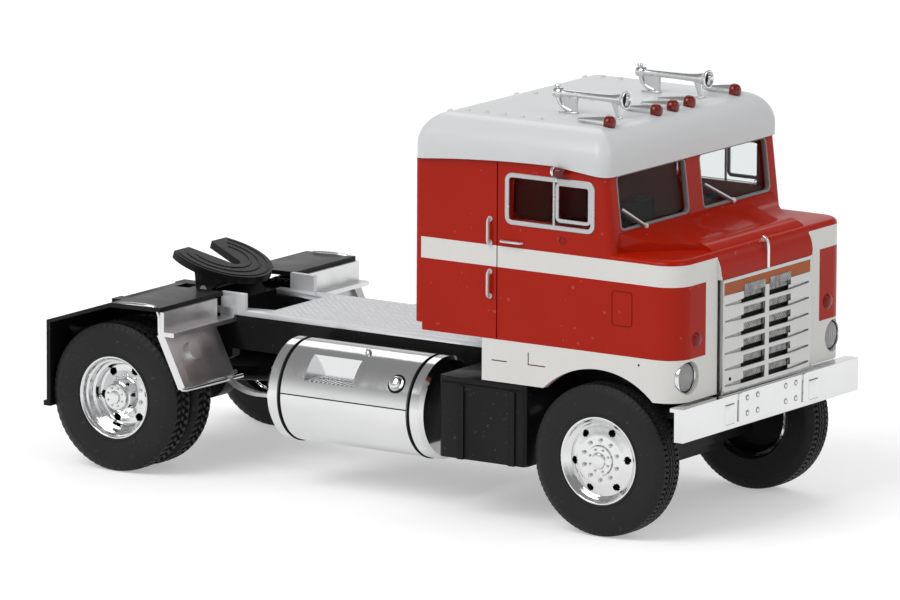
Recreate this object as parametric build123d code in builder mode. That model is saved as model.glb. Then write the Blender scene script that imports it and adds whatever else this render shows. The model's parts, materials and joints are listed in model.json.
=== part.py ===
"""A 1:87 display model of a cab-over tractor unit, with its wheels and its coupling plate free to turn.

Millimetres. X points forward, Y to the truck's left and Z up. The origin is on the floor, in the
middle of the model's length and width. Stations along the truck are given from the rear axle and
pass through at(), which moves them into this frame. What belongs to the cab is placed from the
front axle, and what belongs to the rear frame from the rear axle.
"""
from build123d import *

import math
import os

os.makedirs("parts", exist_ok=True)

# Driving dimensions: the whole model
wheelbase = 44.5
front_overhang = 8.15            # front axle to the bumper's face
rear_overhang = 6.7              # rear axle to the mudguards' rear edge
overall_length = wheelbase + front_overhang + rear_overhang
rear_axle_x = rear_overhang - overall_length / 2
play = 0.06                      # running clearance of a pin in its bore
snug = 0.1                       # gap between an insert and the moulding that holds it
groove = 0.1                     # depth and width of an engraved line

# Wheels
tyre_radius = 5.95
axle_height = tyre_radius
pin_radius = 0.5
front_tyre_width = 2.8
front_half_track = 12.2          # centre plane to the front tyre's outer face
front_rim_radius = 3.45
rear_tyre_width = 2.5
rear_twin_gap = 0.4
rear_half_track = 13.55          # centre plane to the outer rear tyre's outer face
rear_rim_radius = 3.3
rim_inset = 0.3                  # tyre's outer face to the rim's lip
rim_lip = 0.35
tyre_shoulder = 0.45

# Frame
rail_outer_y = 5.0
rail_web = 0.5
rail_flange = 1.3
rail_bottom = 9.2
rail_top = 11.9
rail_rear = -rear_overhang + 0.5
rail_front = wheelbase + 6.1     # full depth ends behind the cab's front wall
horn_drop = 1.1                  # the rail's top is cut down under the cab's front wall

# Cab shell
cab_rear = wheelbase - 16.95
cab_front = wheelbase + 7.15
cab_half_width = 12.2
cab_wall = 0.8
sill_bottom = 11.1
red_bottom = 14.4
cab_rear_bottom = 15.0
cab_rear_step = 0.8              # length of the raised lower edge at the rear wall
sill_rear = wheelbase - 10.6
fender_top = 22.1
window_sill = 23.6
windscreen_top_x = wheelbase + 0.55
windscreen_rake = 7.0            # degrees from upright
front_corner_round = 2.0
rear_corner_round = 0.6
pillar_round = 0.7
fender_round = 0.45
arch_radius = 7.15

# Roof: its lower edge rises from the rear to a crest over the door, then dips to the screen
roof_line_rear = 27.75
roof_line_crest = 28.45
roof_line_front = 27.95
roof_crest_x = wheelbase - 4.0
roof_top = 31.35
roof_lip = 0.3
roof_round = 2.5
roof_corner_round = 1.2

# Cowl and rounded nose
nose_half_width = 6.6
nose_top = 22.65
nose_crease_x = wheelbase + 5.4
nose_front = wheelbase + 7.55
nose_bottom = 19.95
cowl_half_width = 11.0
cowl_sag = 0.4                   # how far the cowl's hollow lies under a straight slope

# Windows
window_rear = wheelbase - 8.15
window_front = wheelbase - 0.75
window_low = 23.85
window_high = 27.15
vent_low = 24.15                 # the front pane is lower than the door's pane
vent_high = 26.95
divider_x = wheelbase - 3.85
divider = 0.6
frame_border = 0.38
frame_proud = 0.12
screen_inner = 0.95
screen_outer = 10.75
screen_corner = 0.4
rear_window_y = 4.9
rear_window_width = 4.6
rear_window_low = 24.2
rear_window_high = 26.4
pane = 0.3

# Grille
grille_thick = 0.55
grille_bottom = 10.97
grille_gap = 0.25                # each side of the grille, in its opening
grille_window_bottom = 11.5
grille_window_top = 19.0
grille_half_window = 3.4
grille_post = 0.56
grille_rows = 6
grille_bar = 0.34
wing_groove = 0.32               # height of a wing's tapering groove at the windows
strip_bottom = 18.7
strip_top = 19.62

# Bumper
bumper_half_width = 12.7
bumper_bottom = 8.35
bumper_top = 10.95
bumper_plate = 0.45
bumper_flange = 1.2
bumper_pad = 0.12                # towing pads and bars stand this proud of the face

# Tanks and battery boxes on the rails
tank_radius = 4.04
tank_z = 7.57
tank_flat = 0.88                 # depth cut flat against the rail
tank_rear = 13.65
tank_band = 1.1                  # bright end bands outside the dark strap lines
strap_width = 0.35
strap_depth = 0.12
box_rear = wheelbase - 14.7
box_front = wheelbase - 6.7
tank_front = box_rear - 1.5
box_bottom = 4.6
box_top = 11.0
box_outer_y = 12.0

# Mudguards, deck and coupling
guard_sheet = 0.35
guard_top = 13.65
guard_corner = 11.5
guard_foot = 4.6
guard_lip = 0.3
guard_front = 4.6
quarter_inner_y = 6.3
deck_top = 12.3
deck_half_width = 5.0
deck_rear = 8.4
deck_front = cab_rear + 3.45
deck_arm_rear = 3.2
plate_radius = 4.2
plate_centre_x = 0.97
plate_tilt = 17.5                # nose down at rest, degrees
plate_thick = 0.6
plate_height = 15.73             # top of the plate above the rear axle, at rest
coupling_pivot_x = 1.7
coupling_pivot_z = 13.3
coupling_pin_radius = 0.3
kingpin_radius = 0.62

SIDES = (("right", -1), ("left", 1))


def at(station):
    """The x of a station given from the rear axle."""
    return rear_axle_x + station


def write(piece, name):
    """Labels a finished piece and writes it."""
    piece.label = name
    export_step(piece, f"parts/{name}.step")


def block(stations, widths, heights, mode=Mode.ADD):
    """A box between two stations, two y values and two z values, for use inside a part block."""
    (x0, x1), (y0, y1), (z0, z1) = stations, widths, heights
    with Locations((at((x0 + x1) / 2), (y0 + y1) / 2, (z0 + z1) / 2)):
        Box(abs(x1 - x0), abs(y1 - y0), abs(z1 - z0), mode=mode)


def bar_along_y(radius, y0, y1, station, height, mode=Mode.ADD):
    """A round bar along Y between two planes, for use inside a part block."""
    with Locations((at(station), (y0 + y1) / 2, height)):
        Cylinder(radius, abs(y1 - y0), rotation=(90, 0, 0), mode=mode)


def disc_along_x(radius, x0, x1, y, z, mode=Mode.ADD):
    """A round disc facing forward between two stations, for use inside a part block."""
    with Locations((at((x0 + x1) / 2), y, z)):
        Cylinder(radius, x1 - x0, rotation=(0, 90, 0), mode=mode)


def both(width):
    """The y values of a strip that lies evenly about the centre plane."""
    return (-width, width)


# Frame rails: channels open to the inside, cut down at the front
rail_nose = wheelbase + front_overhang - bumper_pad - bumper_plate
rail_mid_z = (rail_bottom + rail_top) / 2
for side, sign in SIDES:
    web_y = sign * (rail_outer_y - rail_web / 2)
    flange_y = sign * (rail_outer_y - rail_flange / 2)
    rail_section = Plane(origin=(at(rail_rear), 0, 0), x_dir=(0, 1, 0), z_dir=(1, 0, 0))
    with BuildPart() as rail:
        with BuildSketch(rail_section):
            with Locations((web_y, rail_mid_z)):
                Rectangle(rail_web, rail_top - rail_bottom)
            with Locations((flange_y, rail_bottom + rail_web / 2), (flange_y, rail_top - rail_web / 2)):
                Rectangle(rail_flange, rail_web)
        extrude(amount=rail_nose - rail_rear)
        cut = (rail_top - horn_drop, rail_top + rail_web)
        block((rail_front, rail_nose + rail_web), both(2 * rail_outer_y), cut, Mode.SUBTRACT)
    write(rail.part, f"frame_rail_{side}")

# Cross members between the rails: station, bottom and top
cross_thick = 0.8
CROSS = (
    (rail_rear + 0.7, rail_bottom, rail_top),
    (11.0, rail_bottom, rail_top - 0.4),
    (tank_front - 4.3, rail_bottom, rail_top - 0.4),
    (wheelbase + 5.4, rail_bottom, rail_top),
)
with BuildPart() as cross:
    for station, low, high in CROSS:
        ends = (station - cross_thick / 2, station + cross_thick / 2)
        block(ends, both(rail_outer_y - rail_flange), (low, high))
write(cross.part, "cross_members")

# Engine under the cab, with its sump
engine_rear = wheelbase - 8.3
engine_front = wheelbase - 1.9
engine_bottom = 7.6
engine_top = 13.2
engine_half_width = 3.4
sump_inset = 1.2
sump_half_width = 1.8
sump_depth = 1.4
with BuildPart() as engine:
    block((engine_rear, engine_front), both(engine_half_width), (engine_bottom, engine_top))
    sump = (engine_rear + sump_inset, engine_front - sump_inset)
    block(sump, both(sump_half_width), (engine_bottom - sump_depth, engine_bottom))
write(engine.part, "engine_block")

# Gearbox, propeller shaft and the rear axle's housing with its differential
gearbox_z = 8.6
gearbox_rear = engine_rear - 5.2
GEARBOX = ((engine_rear, 2.0), (gearbox_rear, 1.1))   # station and radius at its two ends
shaft_radius = 0.55
differential_radius = 2.1
differential_half = 0.9
housing_radius = 1.1
housing_half = rear_half_track - 2 * rear_tyre_width - rear_twin_gap - 0.45
shaft_end = 1.5
shaft_run = at(shaft_end) - at(gearbox_rear)
shaft_drop = axle_height - gearbox_z
with BuildPart() as driveline:
    for station, radius in GEARBOX:
        with BuildSketch(Plane(origin=(at(station), 0, gearbox_z), x_dir=(0, 1, 0), z_dir=(-1, 0, 0))):
            Circle(radius)
    loft()
    with BuildSketch(Plane(origin=(at(gearbox_rear), 0, gearbox_z), z_dir=(shaft_run, 0, shaft_drop))):
        Circle(shaft_radius)
    extrude(amount=math.hypot(shaft_run, shaft_drop))
    bar_along_y(differential_radius, -differential_half, differential_half, 0, axle_height)
    bar_along_y(housing_radius, -housing_half, housing_half, 0, axle_height)
    bar_along_y(pin_radius + play, -housing_half - 1, housing_half + 1, 0, axle_height, Mode.SUBTRACT)
write(driveline.part, "driveline")

# Front beam, dropped between the spring seats, with the bore for the axle pin
beam_half = front_half_track - front_tyre_width - 0.8
beam_length = 1.9
beam_height = 2.1
beam_drop = 0.9
drop_width = 1.33 * beam_half    # the dropped middle's width at its top
drop_height = 1.6
drop_slope = 60
with BuildPart() as beam:
    with BuildSketch(Plane.XZ):
        with Locations((at(wheelbase), axle_height)):
            Rectangle(beam_length, beam_height)
    extrude(amount=beam_half, both=True)
    with BuildSketch(Plane.YZ.offset(at(wheelbase))):
        with Locations((0, axle_height - beam_drop)):
            Trapezoid(drop_width, drop_height, drop_slope, rotation=180)
    extrude(amount=0.6, both=True)
    bar_along_y(pin_radius + play, -beam_half - 1, beam_half + 1, wheelbase, axle_height, Mode.SUBTRACT)
write(beam.part, "front_axle_beam")

# Leaf springs: axle station, half length, and the height of the seat on the axle
leaf_thick = 0.7
leaf_bow = 0.95
leaf_half_width = 0.5
SPRINGS = (
    ("front_springs", wheelbase, 5.0, axle_height + beam_height / 2),
    ("rear_springs", 0, 5.4, axle_height + housing_radius),
)
for name, station, half_length, seat in SPRINGS:
    tail_x, head_x = at(station - half_length), at(station + half_length)
    eye = rail_bottom - leaf_thick
    middle_y = rail_outer_y - rail_flange / 2
    with BuildPart() as springs:
        with BuildSketch(Plane.XZ.offset(-middle_y + leaf_half_width)):
            with BuildLine():
                ThreePointArc((tail_x, eye), (at(station), seat), (head_x, eye))
                Line((head_x, eye), (head_x, rail_bottom))
                ThreePointArc((head_x, rail_bottom), (at(station), seat + leaf_bow), (tail_x, rail_bottom))
                Line((tail_x, rail_bottom), (tail_x, eye))
            make_face()
        extrude(amount=-2 * leaf_half_width)
        mirror(about=Plane.XZ)
    write(springs.part, name)

# Fuel tanks: round, flat against the rail, with end bands, strap grooves and a step cut in
tank_y = rail_outer_y + tank_radius - tank_flat
tank_outer_y = tank_y + tank_radius
step_rear = tank_rear + 3.5
step_length = 4.5
step_z = 9.0
step_back_y = tank_y + 0.57 * tank_radius
crease_z = tank_z + 0.28
tanks = []
for side, sign in SIDES:
    straps = (tank_rear + tank_band, tank_front - tank_band - strap_width)
    with BuildPart() as tank:
        disc_along_x(tank_radius, tank_rear, tank_front, sign * tank_y, tank_z)
        chamfer(tank.edges().filter_by(GeomType.CIRCLE), 0.3)
        for strap in straps:
            disc_along_x(tank_radius + 1, strap, strap + strap_width, sign * tank_y, tank_z, Mode.SUBTRACT)
        core = (tank_rear + tank_band / 2, tank_front - tank_band / 2)
        disc_along_x(tank_radius - strap_depth, core[0], core[1], sign * tank_y, tank_z)
        # flat side against the rail
        whole = (tank_rear - 1, tank_front + 1)
        against = (sign * (rail_outer_y - tank_radius), sign * rail_outer_y)
        block(whole, against, (tank_z - tank_radius - 1, tank_z + tank_radius + 1), Mode.SUBTRACT)
        # step cut into the upper shoulder
        step = (step_rear, step_rear + step_length)
        step_y = (sign * step_back_y, sign * (tank_outer_y + 1))
        block(step, step_y, (step_z, tank_z + tank_radius + 1), Mode.SUBTRACT)
        # seam line along the outer side
        seam = (straps[0] + strap_width, straps[1])
        seam_y = (sign * (tank_outer_y - groove), sign * (tank_outer_y + 1))
        block(seam, seam_y, (crease_z - groove / 2, crease_z + groove / 2), Mode.SUBTRACT)
    write(tank.part, f"fuel_tank_{side}")
    tanks.append(tank.part)

# Filler caps, one on each tank's upper shoulder
cap_angle = math.radians(32)
cap_station = tank_front - 2.7
cap_radius = 0.62
cap_sink = 0.15
with BuildPart() as caps:
    for side, sign in SIDES:
        cap_dir = (0, sign * math.cos(cap_angle), math.sin(cap_angle))
        foot_y = sign * tank_y + cap_dir[1] * (tank_radius - cap_sink)
        foot_z = tank_z + cap_dir[2] * (tank_radius - cap_sink)
        with BuildSketch(Plane(origin=(at(cap_station), foot_y, foot_z), x_dir=(1, 0, 0), z_dir=cap_dir)):
            Circle(cap_radius)
        extrude(amount=0.6)
    for tank_part in tanks:
        add(tank_part, mode=Mode.SUBTRACT)
write(caps.part, "fuel_caps")

# Battery boxes ahead of the tanks, with a lid line and two upright ribs on the outer face
rib_half = 0.3
rib_proud = 0.2
with BuildPart() as batteries:
    block((box_rear, box_front), (rail_outer_y, box_outer_y), (box_bottom, box_top))
    chamfer(batteries.edges().filter_by(Axis.Z), 0.25)
    for station in (box_rear + 2.1, box_front - 1.2):
        ends = (station - rib_half, station + rib_half)
        block(ends, (box_outer_y - rib_proud, box_outer_y + rib_proud), (box_bottom, box_top - 0.6))
    lid_line = (box_top - 0.5, box_top - 0.5 + groove)
    block((box_rear, box_front), (box_outer_y - groove, box_outer_y + 1), lid_line, Mode.SUBTRACT)
    mirror(about=Plane.XZ)
write(batteries.part, "battery_boxes")

# Rear mudguards: a bent sheet from the foot of the flap over the tyres
guard_rear = -rear_overhang + guard_lip
guard_crown = -0.2
for side, sign in SIDES:
    with BuildPart() as guard:
        with BuildSketch(Plane.XZ.offset(-sign * rail_outer_y)):
            with BuildLine():
                Polyline(
                    (at(guard_rear), guard_foot + 0.4),
                    (at(guard_rear), guard_corner),
                    (at(guard_crown), guard_top - 0.1),
                    (at(guard_front), guard_top),
                    (at(guard_front), guard_top - guard_sheet),
                    (at(guard_crown), guard_top - 0.1 - guard_sheet),
                    (at(guard_rear + guard_sheet), guard_corner - guard_sheet / 2),
                    (at(guard_rear + guard_sheet), guard_foot),
                    (at(guard_rear - guard_lip), guard_foot),
                    (at(guard_rear - guard_lip), guard_foot + 0.4),
                    close=True,
                )
            make_face()
        extrude(amount=-sign * (rear_half_track - rail_outer_y))
    write(guard.part, f"mudguard_{side}")

# Bright quarter fenders ahead of the rear wheels: upright plate, shelf and slanted panel with
# raised bands, a round lamp boss, and the strip that joins each one to its tank
shelf_z = 11.4
shelf_front = guard_front + 1.3
shelf = (guard_front, shelf_front)
slant_top = (guard_front - 0.3, shelf_z)
slant_foot = (guard_front + 1.75, 7.3)
band_wide = 0.9
band_thick = 0.3
slant_run = (slant_foot[0] - slant_top[0], slant_foot[1] - slant_top[1])
slant_length = math.hypot(*slant_run)
slant_dir = (slant_run[0] / slant_length, slant_run[1] / slant_length)
boss_radius = 0.75
boss_inset = 3.1                 # from the fender's outer edge
boss_drop = 1.9                  # down the slanted panel
link_y = 7.0
link_z = 6.5
link_thick = 0.3
link_width = 0.5
link_bend = at(10.0)
link_start = (at(slant_foot[0] + 0.3), slant_foot[1] + 0.2)
link_under = (at(slant_foot[0] + 0.05), slant_foot[1])
for side, sign in SIDES:
    inner_y, outer_y = sign * quarter_inner_y, sign * rear_half_track
    normal = (-slant_dir[1], 0, slant_dir[0])
    panel = Plane(origin=(at(slant_top[0]), 0, slant_top[1]), x_dir=(0, 1, 0), z_dir=normal)
    mid_y = (inner_y + outer_y) / 2
    wide = rear_half_track - quarter_inner_y
    with BuildPart() as quarter:
        upright = (guard_front, guard_front + guard_sheet)
        block(upright, (inner_y, outer_y), (shelf_z, guard_top - guard_sheet))
        block(shelf, (inner_y, outer_y), (shelf_z, shelf_z + guard_sheet))
        # the shelf runs in to the rail and turns up beside the deck
        rail_y, turned_y = sign * rail_outer_y, sign * (rail_outer_y + guard_sheet)
        block(shelf, (rail_y, inner_y), (shelf_z, shelf_z + guard_sheet))
        block(shelf, (rail_y, turned_y), (shelf_z, deck_top + 0.2))
        with BuildSketch(panel):
            with Locations((mid_y, -slant_length / 2)):
                Rectangle(wide, slant_length)
        extrude(amount=guard_sheet)
        with BuildSketch(panel.offset(guard_sheet)):
            with Locations((outer_y - sign * band_wide / 2, -slant_length / 2)):
                Rectangle(band_wide, slant_length)
            with Locations((mid_y, -slant_length + band_thick / 2)):
                Rectangle(wide, band_thick)
            with Locations((outer_y - sign * boss_inset, -boss_drop)):
                Circle(boss_radius)
        extrude(amount=band_thick)
        with BuildSketch(Plane.XZ.offset(-sign * link_y)):
            with BuildLine():
                bend = ThreePointArc(link_start, (at(8.1), link_z + 0.25), (link_bend, link_z))
                Polyline(
                    bend @ 1,
                    (at(tank_rear), link_z),
                    (at(tank_rear), link_z - link_thick),
                    (link_bend, link_z - link_thick),
                )
                ThreePointArc(
                    (link_bend, link_z - link_thick),
                    (at(7.9), link_z + 0.25 - link_thick),
                    link_under,
                )
                Line(link_under, link_start)
            make_face()
        extrude(amount=-sign * link_width)
    write(quarter.part, f"quarter_fender_{side}")

# Deck plate between the cab and the coupling, with an arm along each rail and two upstands
deck_arm_inner = deck_half_width - 0.7
notch_half = 3.3
upstand = (4.4, 6.7)
with BuildPart() as deck:
    with BuildSketch(Plane.XY.offset(rail_top)):
        with BuildLine():
            Polyline(
                (at(deck_front), -deck_half_width),
                (at(deck_front), deck_half_width),
                (at(deck_arm_rear), deck_half_width),
                (at(deck_arm_rear), deck_arm_inner),
                (at(deck_rear), notch_half),
                (at(deck_rear), -notch_half),
                (at(deck_arm_rear), -deck_arm_inner),
                (at(deck_arm_rear), -deck_half_width),
                close=True,
            )
        make_face()
    extrude(amount=deck_top - rail_top)
    for _, sign in SIDES:
        block(upstand, (sign * (deck_half_width - 0.4), sign * deck_half_width), (deck_top, guard_top))
write(deck.part, "deck_plate")

# Coupling: a pedestal on the frame, and the plate that tilts on its pin
pedestal_half = 2.9
pedestal_front = coupling_pivot_x + 1.7
pedestal_base = (rail_top, rail_top + 0.4)
ear_radius = 0.7
with BuildPart() as pedestal:
    block((coupling_pivot_x - 4.3, pedestal_front), both(rail_outer_y - 0.9), pedestal_base)
    with BuildSketch(Plane.XZ):
        with BuildLine():
            Polyline(
                (at(coupling_pivot_x - 2.6), pedestal_base[1]),
                (at(coupling_pivot_x - ear_radius), coupling_pivot_z),
                (at(coupling_pivot_x + ear_radius), coupling_pivot_z),
                (at(pedestal_front), pedestal_base[1]),
                close=True,
            )
        make_face()
    extrude(amount=pedestal_half, both=True)
    bar_along_y(ear_radius, -pedestal_half, pedestal_half, coupling_pivot_x, coupling_pivot_z)
    bore = coupling_pin_radius + play
    bar_along_y(bore, -rail_outer_y, rail_outer_y, coupling_pivot_x, coupling_pivot_z, Mode.SUBTRACT)
write(pedestal.part, "coupling_pedestal")

tilt = math.radians(plate_tilt)
plate_plane = Plane(
    origin=(at(plate_centre_x), 0, plate_height - plate_centre_x * math.tan(tilt)),
    x_dir=(math.cos(tilt), 0, -math.sin(tilt)),
    z_dir=(math.sin(tilt), 0, math.cos(tilt)),
)
horn_cut = 2.2                   # the plate's round is cut square this far behind its centre
throat_x = 1.2                   # the throat's centre, ahead of the plate's centre
mouth_x = -2.0                   # the mouth narrows in two steps: here, and at the throat
mouth_half = 1.5
mouth_outer_half = 2.4
ear_inner = pedestal_half + snug
ear_outer = ear_inner + 0.6
with BuildPart() as plate:
    with BuildSketch(plate_plane):
        Circle(plate_radius)
        with Locations((-horn_cut - plate_radius, 0)):
            Rectangle(2 * plate_radius, 3 * plate_radius, mode=Mode.SUBTRACT)
        with BuildLine():
            Polyline(
                (-plate_radius, mouth_outer_half),
                (mouth_x, mouth_half),
                (throat_x, kingpin_radius),
                (throat_x, -kingpin_radius),
                (mouth_x, -mouth_half),
                (-plate_radius, -mouth_outer_half),
                close=True,
            )
        make_face(mode=Mode.SUBTRACT)
        with Locations((throat_x, 0)):
            Circle(kingpin_radius, mode=Mode.SUBTRACT)
    extrude(amount=-plate_thick)
    for _, sign in SIDES:
        with BuildSketch(Plane.XZ.offset(-sign * ear_inner)):
            with BuildLine():
                Polyline(
                    (at(coupling_pivot_x - 0.9), coupling_pivot_z + 1.75),
                    (at(coupling_pivot_x - ear_radius), coupling_pivot_z),
                    (at(coupling_pivot_x + ear_radius), coupling_pivot_z),
                    (at(coupling_pivot_x + 1.9), coupling_pivot_z + 0.85),
                    close=True,
                )
            make_face()
            with Locations((at(coupling_pivot_x), coupling_pivot_z)):
                Circle(ear_radius)
        extrude(amount=-sign * (ear_outer - ear_inner))
    pin_reach = both(rail_outer_y)
    bar_along_y(coupling_pin_radius, *pin_reach, coupling_pivot_x, coupling_pivot_z, Mode.SUBTRACT)
write(plate.part, "coupling_plate")

with BuildPart() as coupling_pin:
    bar_along_y(coupling_pin_radius, -ear_outer, ear_outer, coupling_pivot_x, coupling_pivot_z)
write(coupling_pin.part, "coupling_pin")

# Cab shell. The side profile, extruded across, gives the form; a smaller one gives the hollow.
rake = math.tan(math.radians(windscreen_rake))


def screen_x(z, inset=0.0):
    """Station of the raked windscreen wall at a height."""
    return windscreen_top_x - inset + (roof_line_front - z) * rake


def beside_roof_line(reach):
    """What lies between the roof's lower edge and a height, across the cab and past it."""
    start, end = at(cab_rear - 2), at(windscreen_top_x + 2)
    crest = (at(roof_crest_x), roof_line_crest)
    rise = (at((cab_rear + roof_crest_x) / 2), (roof_line_rear + 3 * roof_line_crest) / 4)
    with BuildPart() as beside:
        with BuildSketch(Plane.XZ):
            with BuildLine():
                edge = ThreePointArc((at(cab_rear), roof_line_rear), rise, crest)
                dip = Line(crest, (at(windscreen_top_x), roof_line_front))
                Polyline(dip @ 1, (end, roof_line_front), (end, reach), (start, reach))
                Polyline((start, reach), (start, roof_line_rear), edge @ 0)
            make_face()
        extrude(amount=cab_half_width + 3, both=True)
    return beside.part


def cab_form(inset, low, high, shoulder):
    """The cab's outer form, or, set in by the wall, the hollow inside it."""
    half = cab_half_width - inset
    back, front = at(cab_rear + inset), at(cab_front - inset)
    with BuildPart() as form:
        with BuildSketch(Plane.XZ):
            with BuildLine():
                Polyline(
                    (back, low),
                    (front, low),
                    (front, shoulder),
                    (at(screen_x(shoulder, inset)), shoulder),
                    (at(screen_x(high, inset)), high),
                    (back, high),
                    close=True,
                )
            make_face()
        extrude(amount=half, both=True)
        corners = form.edges().filter_by(Axis.Z).sort_by(Axis.X)
        fillet(corners[-2:], front_corner_round - inset)
        if not inset:
            fillet(form.edges().filter_by(Axis.Z).sort_by(Axis.X)[:2], rear_corner_round)
            upper = [e for e in form.edges() if e.center().Z > shoulder + 1 and e.length > 2]
            outer = [e for e in upper if abs(e.center().Y) > half - 0.1]
            raked = [e for e in outer if e.center().X > at(roof_crest_x)]
            fillet([e for e in raked if abs(e.tangent_at(0.5).Z) > 0.9], pillar_round)
            rim = form.edges().filter_by_position(Axis.Z, shoulder - 0.01, shoulder + 0.01)
            fillet([e for e in rim if e.center().X > at(screen_x(shoulder)) + 0.2], fender_round)
    return form.part


def cowl_form():
    """The hollow cowl that runs down from the windscreen, and the rounded nose in front of it."""
    foot = (at(screen_x(window_sill)), window_sill - 0.02)
    crease = (at(nose_crease_x), nose_top)
    hollow = ((foot[0] + crease[0]) / 2, (foot[1] + crease[1]) / 2 - cowl_sag)
    brow = (at(nose_front - 0.05), nose_top - 2.15)
    inner = fender_top - cab_wall
    with BuildPart() as cowl:
        with BuildSketch(Plane.XZ):
            with BuildLine():
                ThreePointArc(foot, hollow, crease)
                ThreePointArc(crease, (at(nose_front - 0.7), nose_top - 0.7), brow)
                Polyline(
                    brow,
                    (at(nose_front), nose_bottom),
                    (at(cab_front - cab_wall), nose_bottom),
                    (at(cab_front - cab_wall - 0.6), inner),
                    (foot[0] - 0.6, inner),
                    (foot[0] - 0.6, foot[1]),
                    foot,
                )
            make_face()
        extrude(amount=cowl_half_width, both=True)
        with BuildSketch(Plane.XY.offset(nose_bottom - 1)):
            with BuildLine():
                Polyline(
                    (foot[0] - 1, cowl_half_width),
                    (foot[0], cowl_half_width),
                    (crease[0], nose_half_width),
                    (at(nose_front + 1), nose_half_width),
                    (at(nose_front + 1), -nose_half_width),
                    (crease[0], -nose_half_width),
                    (foot[0], -cowl_half_width),
                    (foot[0] - 1, -cowl_half_width),
                    close=True,
                )
            make_face()
        extrude(amount=6, mode=Mode.INTERSECT)
    return cowl.part


above_roof_line = beside_roof_line(roof_top + 5)
below_roof_line = beside_roof_line(sill_bottom)
cab_outer = cab_form(0, sill_bottom, roof_top, fender_top)
cab_hollow = cab_form(cab_wall, sill_bottom - 1, roof_top + 1, fender_top - cab_wall)
cab_cowl = cowl_form()

# Lamp pockets in the front corners
lamp_y = 10.4
lamp_z = 12.95
lamp_pocket = 1.28
lamp_seat = cab_front - 0.6
lamp_face = cab_front - 0.28

# Engraved lines on each flank: rear end, front end, bottom and top, from the front axle
SEAMS = (
    (-9.31, -9.31 + groove, red_bottom, roof_line_crest),
    (-9.7, -8.3, 12.7, 12.7 + groove),
    (-6.4, -6.4 + groove, 12.7, 13.7),
    (-6.4, -4.8, 12.7, 12.7 + groove),
)
hatch_x = at(wheelbase + 2.15)
hatch_z = 18.025
hatch_length = 1.9
hatch_height = 2.75

# Middle and size of each side window's opening, and the middle of each pane at front and rear
window_x = at((window_rear + window_front) / 2)
window_z = (window_low + window_high) / 2
window_length = window_front - window_rear
window_height = window_high - window_low
screen_y = (screen_inner + screen_outer) / 2
screen_cut = 5.0                 # taller than the pane, and open at the roof
rear_window_z = (rear_window_low + rear_window_high) / 2

with BuildPart() as cab:
    add(cab_outer)
    add(cab_cowl)
    add(cab_hollow, mode=Mode.SUBTRACT)
    add(above_roof_line, mode=Mode.SUBTRACT)
    # the rear lower corner is cut away behind the step skirt
    past = (-2 * cab_half_width, 2 * cab_half_width)
    block((cab_rear - 1, sill_rear), past, (sill_bottom - 1, red_bottom), Mode.SUBTRACT)
    block((cab_rear - 1, cab_rear + cab_rear_step), past, (red_bottom, cab_rear_bottom), Mode.SUBTRACT)
    # wheel arches
    bar_along_y(arch_radius, past[0], past[1], wheelbase, axle_height, Mode.SUBTRACT)
    # grille opening
    opening = both(nose_half_width - snug / 2)
    block((cab_front - 2, cab_front + 2), opening, (sill_bottom - 1, nose_bottom), Mode.SUBTRACT)
    # lamp pockets
    for _, sign in SIDES:
        disc_along_x(lamp_pocket, lamp_seat, cab_front + 1, sign * lamp_y, lamp_z, Mode.SUBTRACT)
    # side windows
    with BuildSketch(Plane.XZ):
        with Locations((window_x, window_z)):
            Rectangle(window_length, window_height)
    extrude(amount=cab_half_width + 1, both=True, mode=Mode.SUBTRACT)
    # windscreen, with round lower corners, and the two windows in the rear wall
    with BuildSketch(Plane.YZ.offset(at(windscreen_top_x - 2))):
        with Locations(*[(sign * screen_y, window_sill + screen_cut / 2) for _, sign in SIDES]):
            RectangleRounded(screen_outer - screen_inner, screen_cut, screen_corner)
    extrude(amount=3.2, mode=Mode.SUBTRACT)
    with BuildSketch(Plane.YZ.offset(at(cab_rear - 1))):
        with Locations(*[(sign * rear_window_y, rear_window_z) for _, sign in SIDES]):
            RectangleRounded(rear_window_width, rear_window_high - rear_window_low, 0.6)
    extrude(amount=cab_wall + 2, mode=Mode.SUBTRACT)
    # engraved seams and the hatch outline on each flank
    for _, sign in SIDES:
        flank = (sign * (cab_half_width - groove), sign * (cab_half_width + 1))
        for rear_end, front_end, foot, head in SEAMS:
            block((wheelbase + rear_end, wheelbase + front_end), flank, (foot, head), Mode.SUBTRACT)
        inner_length, inner_height = hatch_length - 2 * groove, hatch_height - 2 * groove
        with BuildSketch(Plane.XZ.offset(-sign * (cab_half_width - groove / 2))):
            with Locations((hatch_x, hatch_z)):
                RectangleRounded(hatch_length, hatch_height, 0.3)
                RectangleRounded(inner_length, inner_height, 0.2, mode=Mode.SUBTRACT)
        extrude(amount=-sign, mode=Mode.SUBTRACT)
write(cab.part, "cab_body")


def roof_form(inset, low):
    """The roof's outer form, or its hollow, with round top edges and corners."""
    half = cab_half_width + roof_lip - inset
    back = at(cab_rear - 0.05 + inset)
    front = at(windscreen_top_x + roof_lip - inset)
    with BuildPart() as form:
        with Locations(((back + front) / 2, 0, (low + roof_top - inset) / 2)):
            Box(front - back, 2 * half, roof_top - inset - low)
        fillet(form.edges().group_by(Axis.Z)[-1], roof_round - inset / 2)
        upright = form.edges().filter_by(Axis.Z)
        corner = [e for e in form.edges() if e.geom_type != GeomType.LINE]
        fillet(list(upright) + corner, roof_corner_round - inset / 2)
    return form.part


with BuildPart() as roof:
    add(roof_form(0, roof_line_rear - 0.5))
    add(roof_form(cab_wall, roof_line_rear - 1.5), mode=Mode.SUBTRACT)
    add(below_roof_line, mode=Mode.SUBTRACT)
write(roof.part, "cab_roof")

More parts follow.
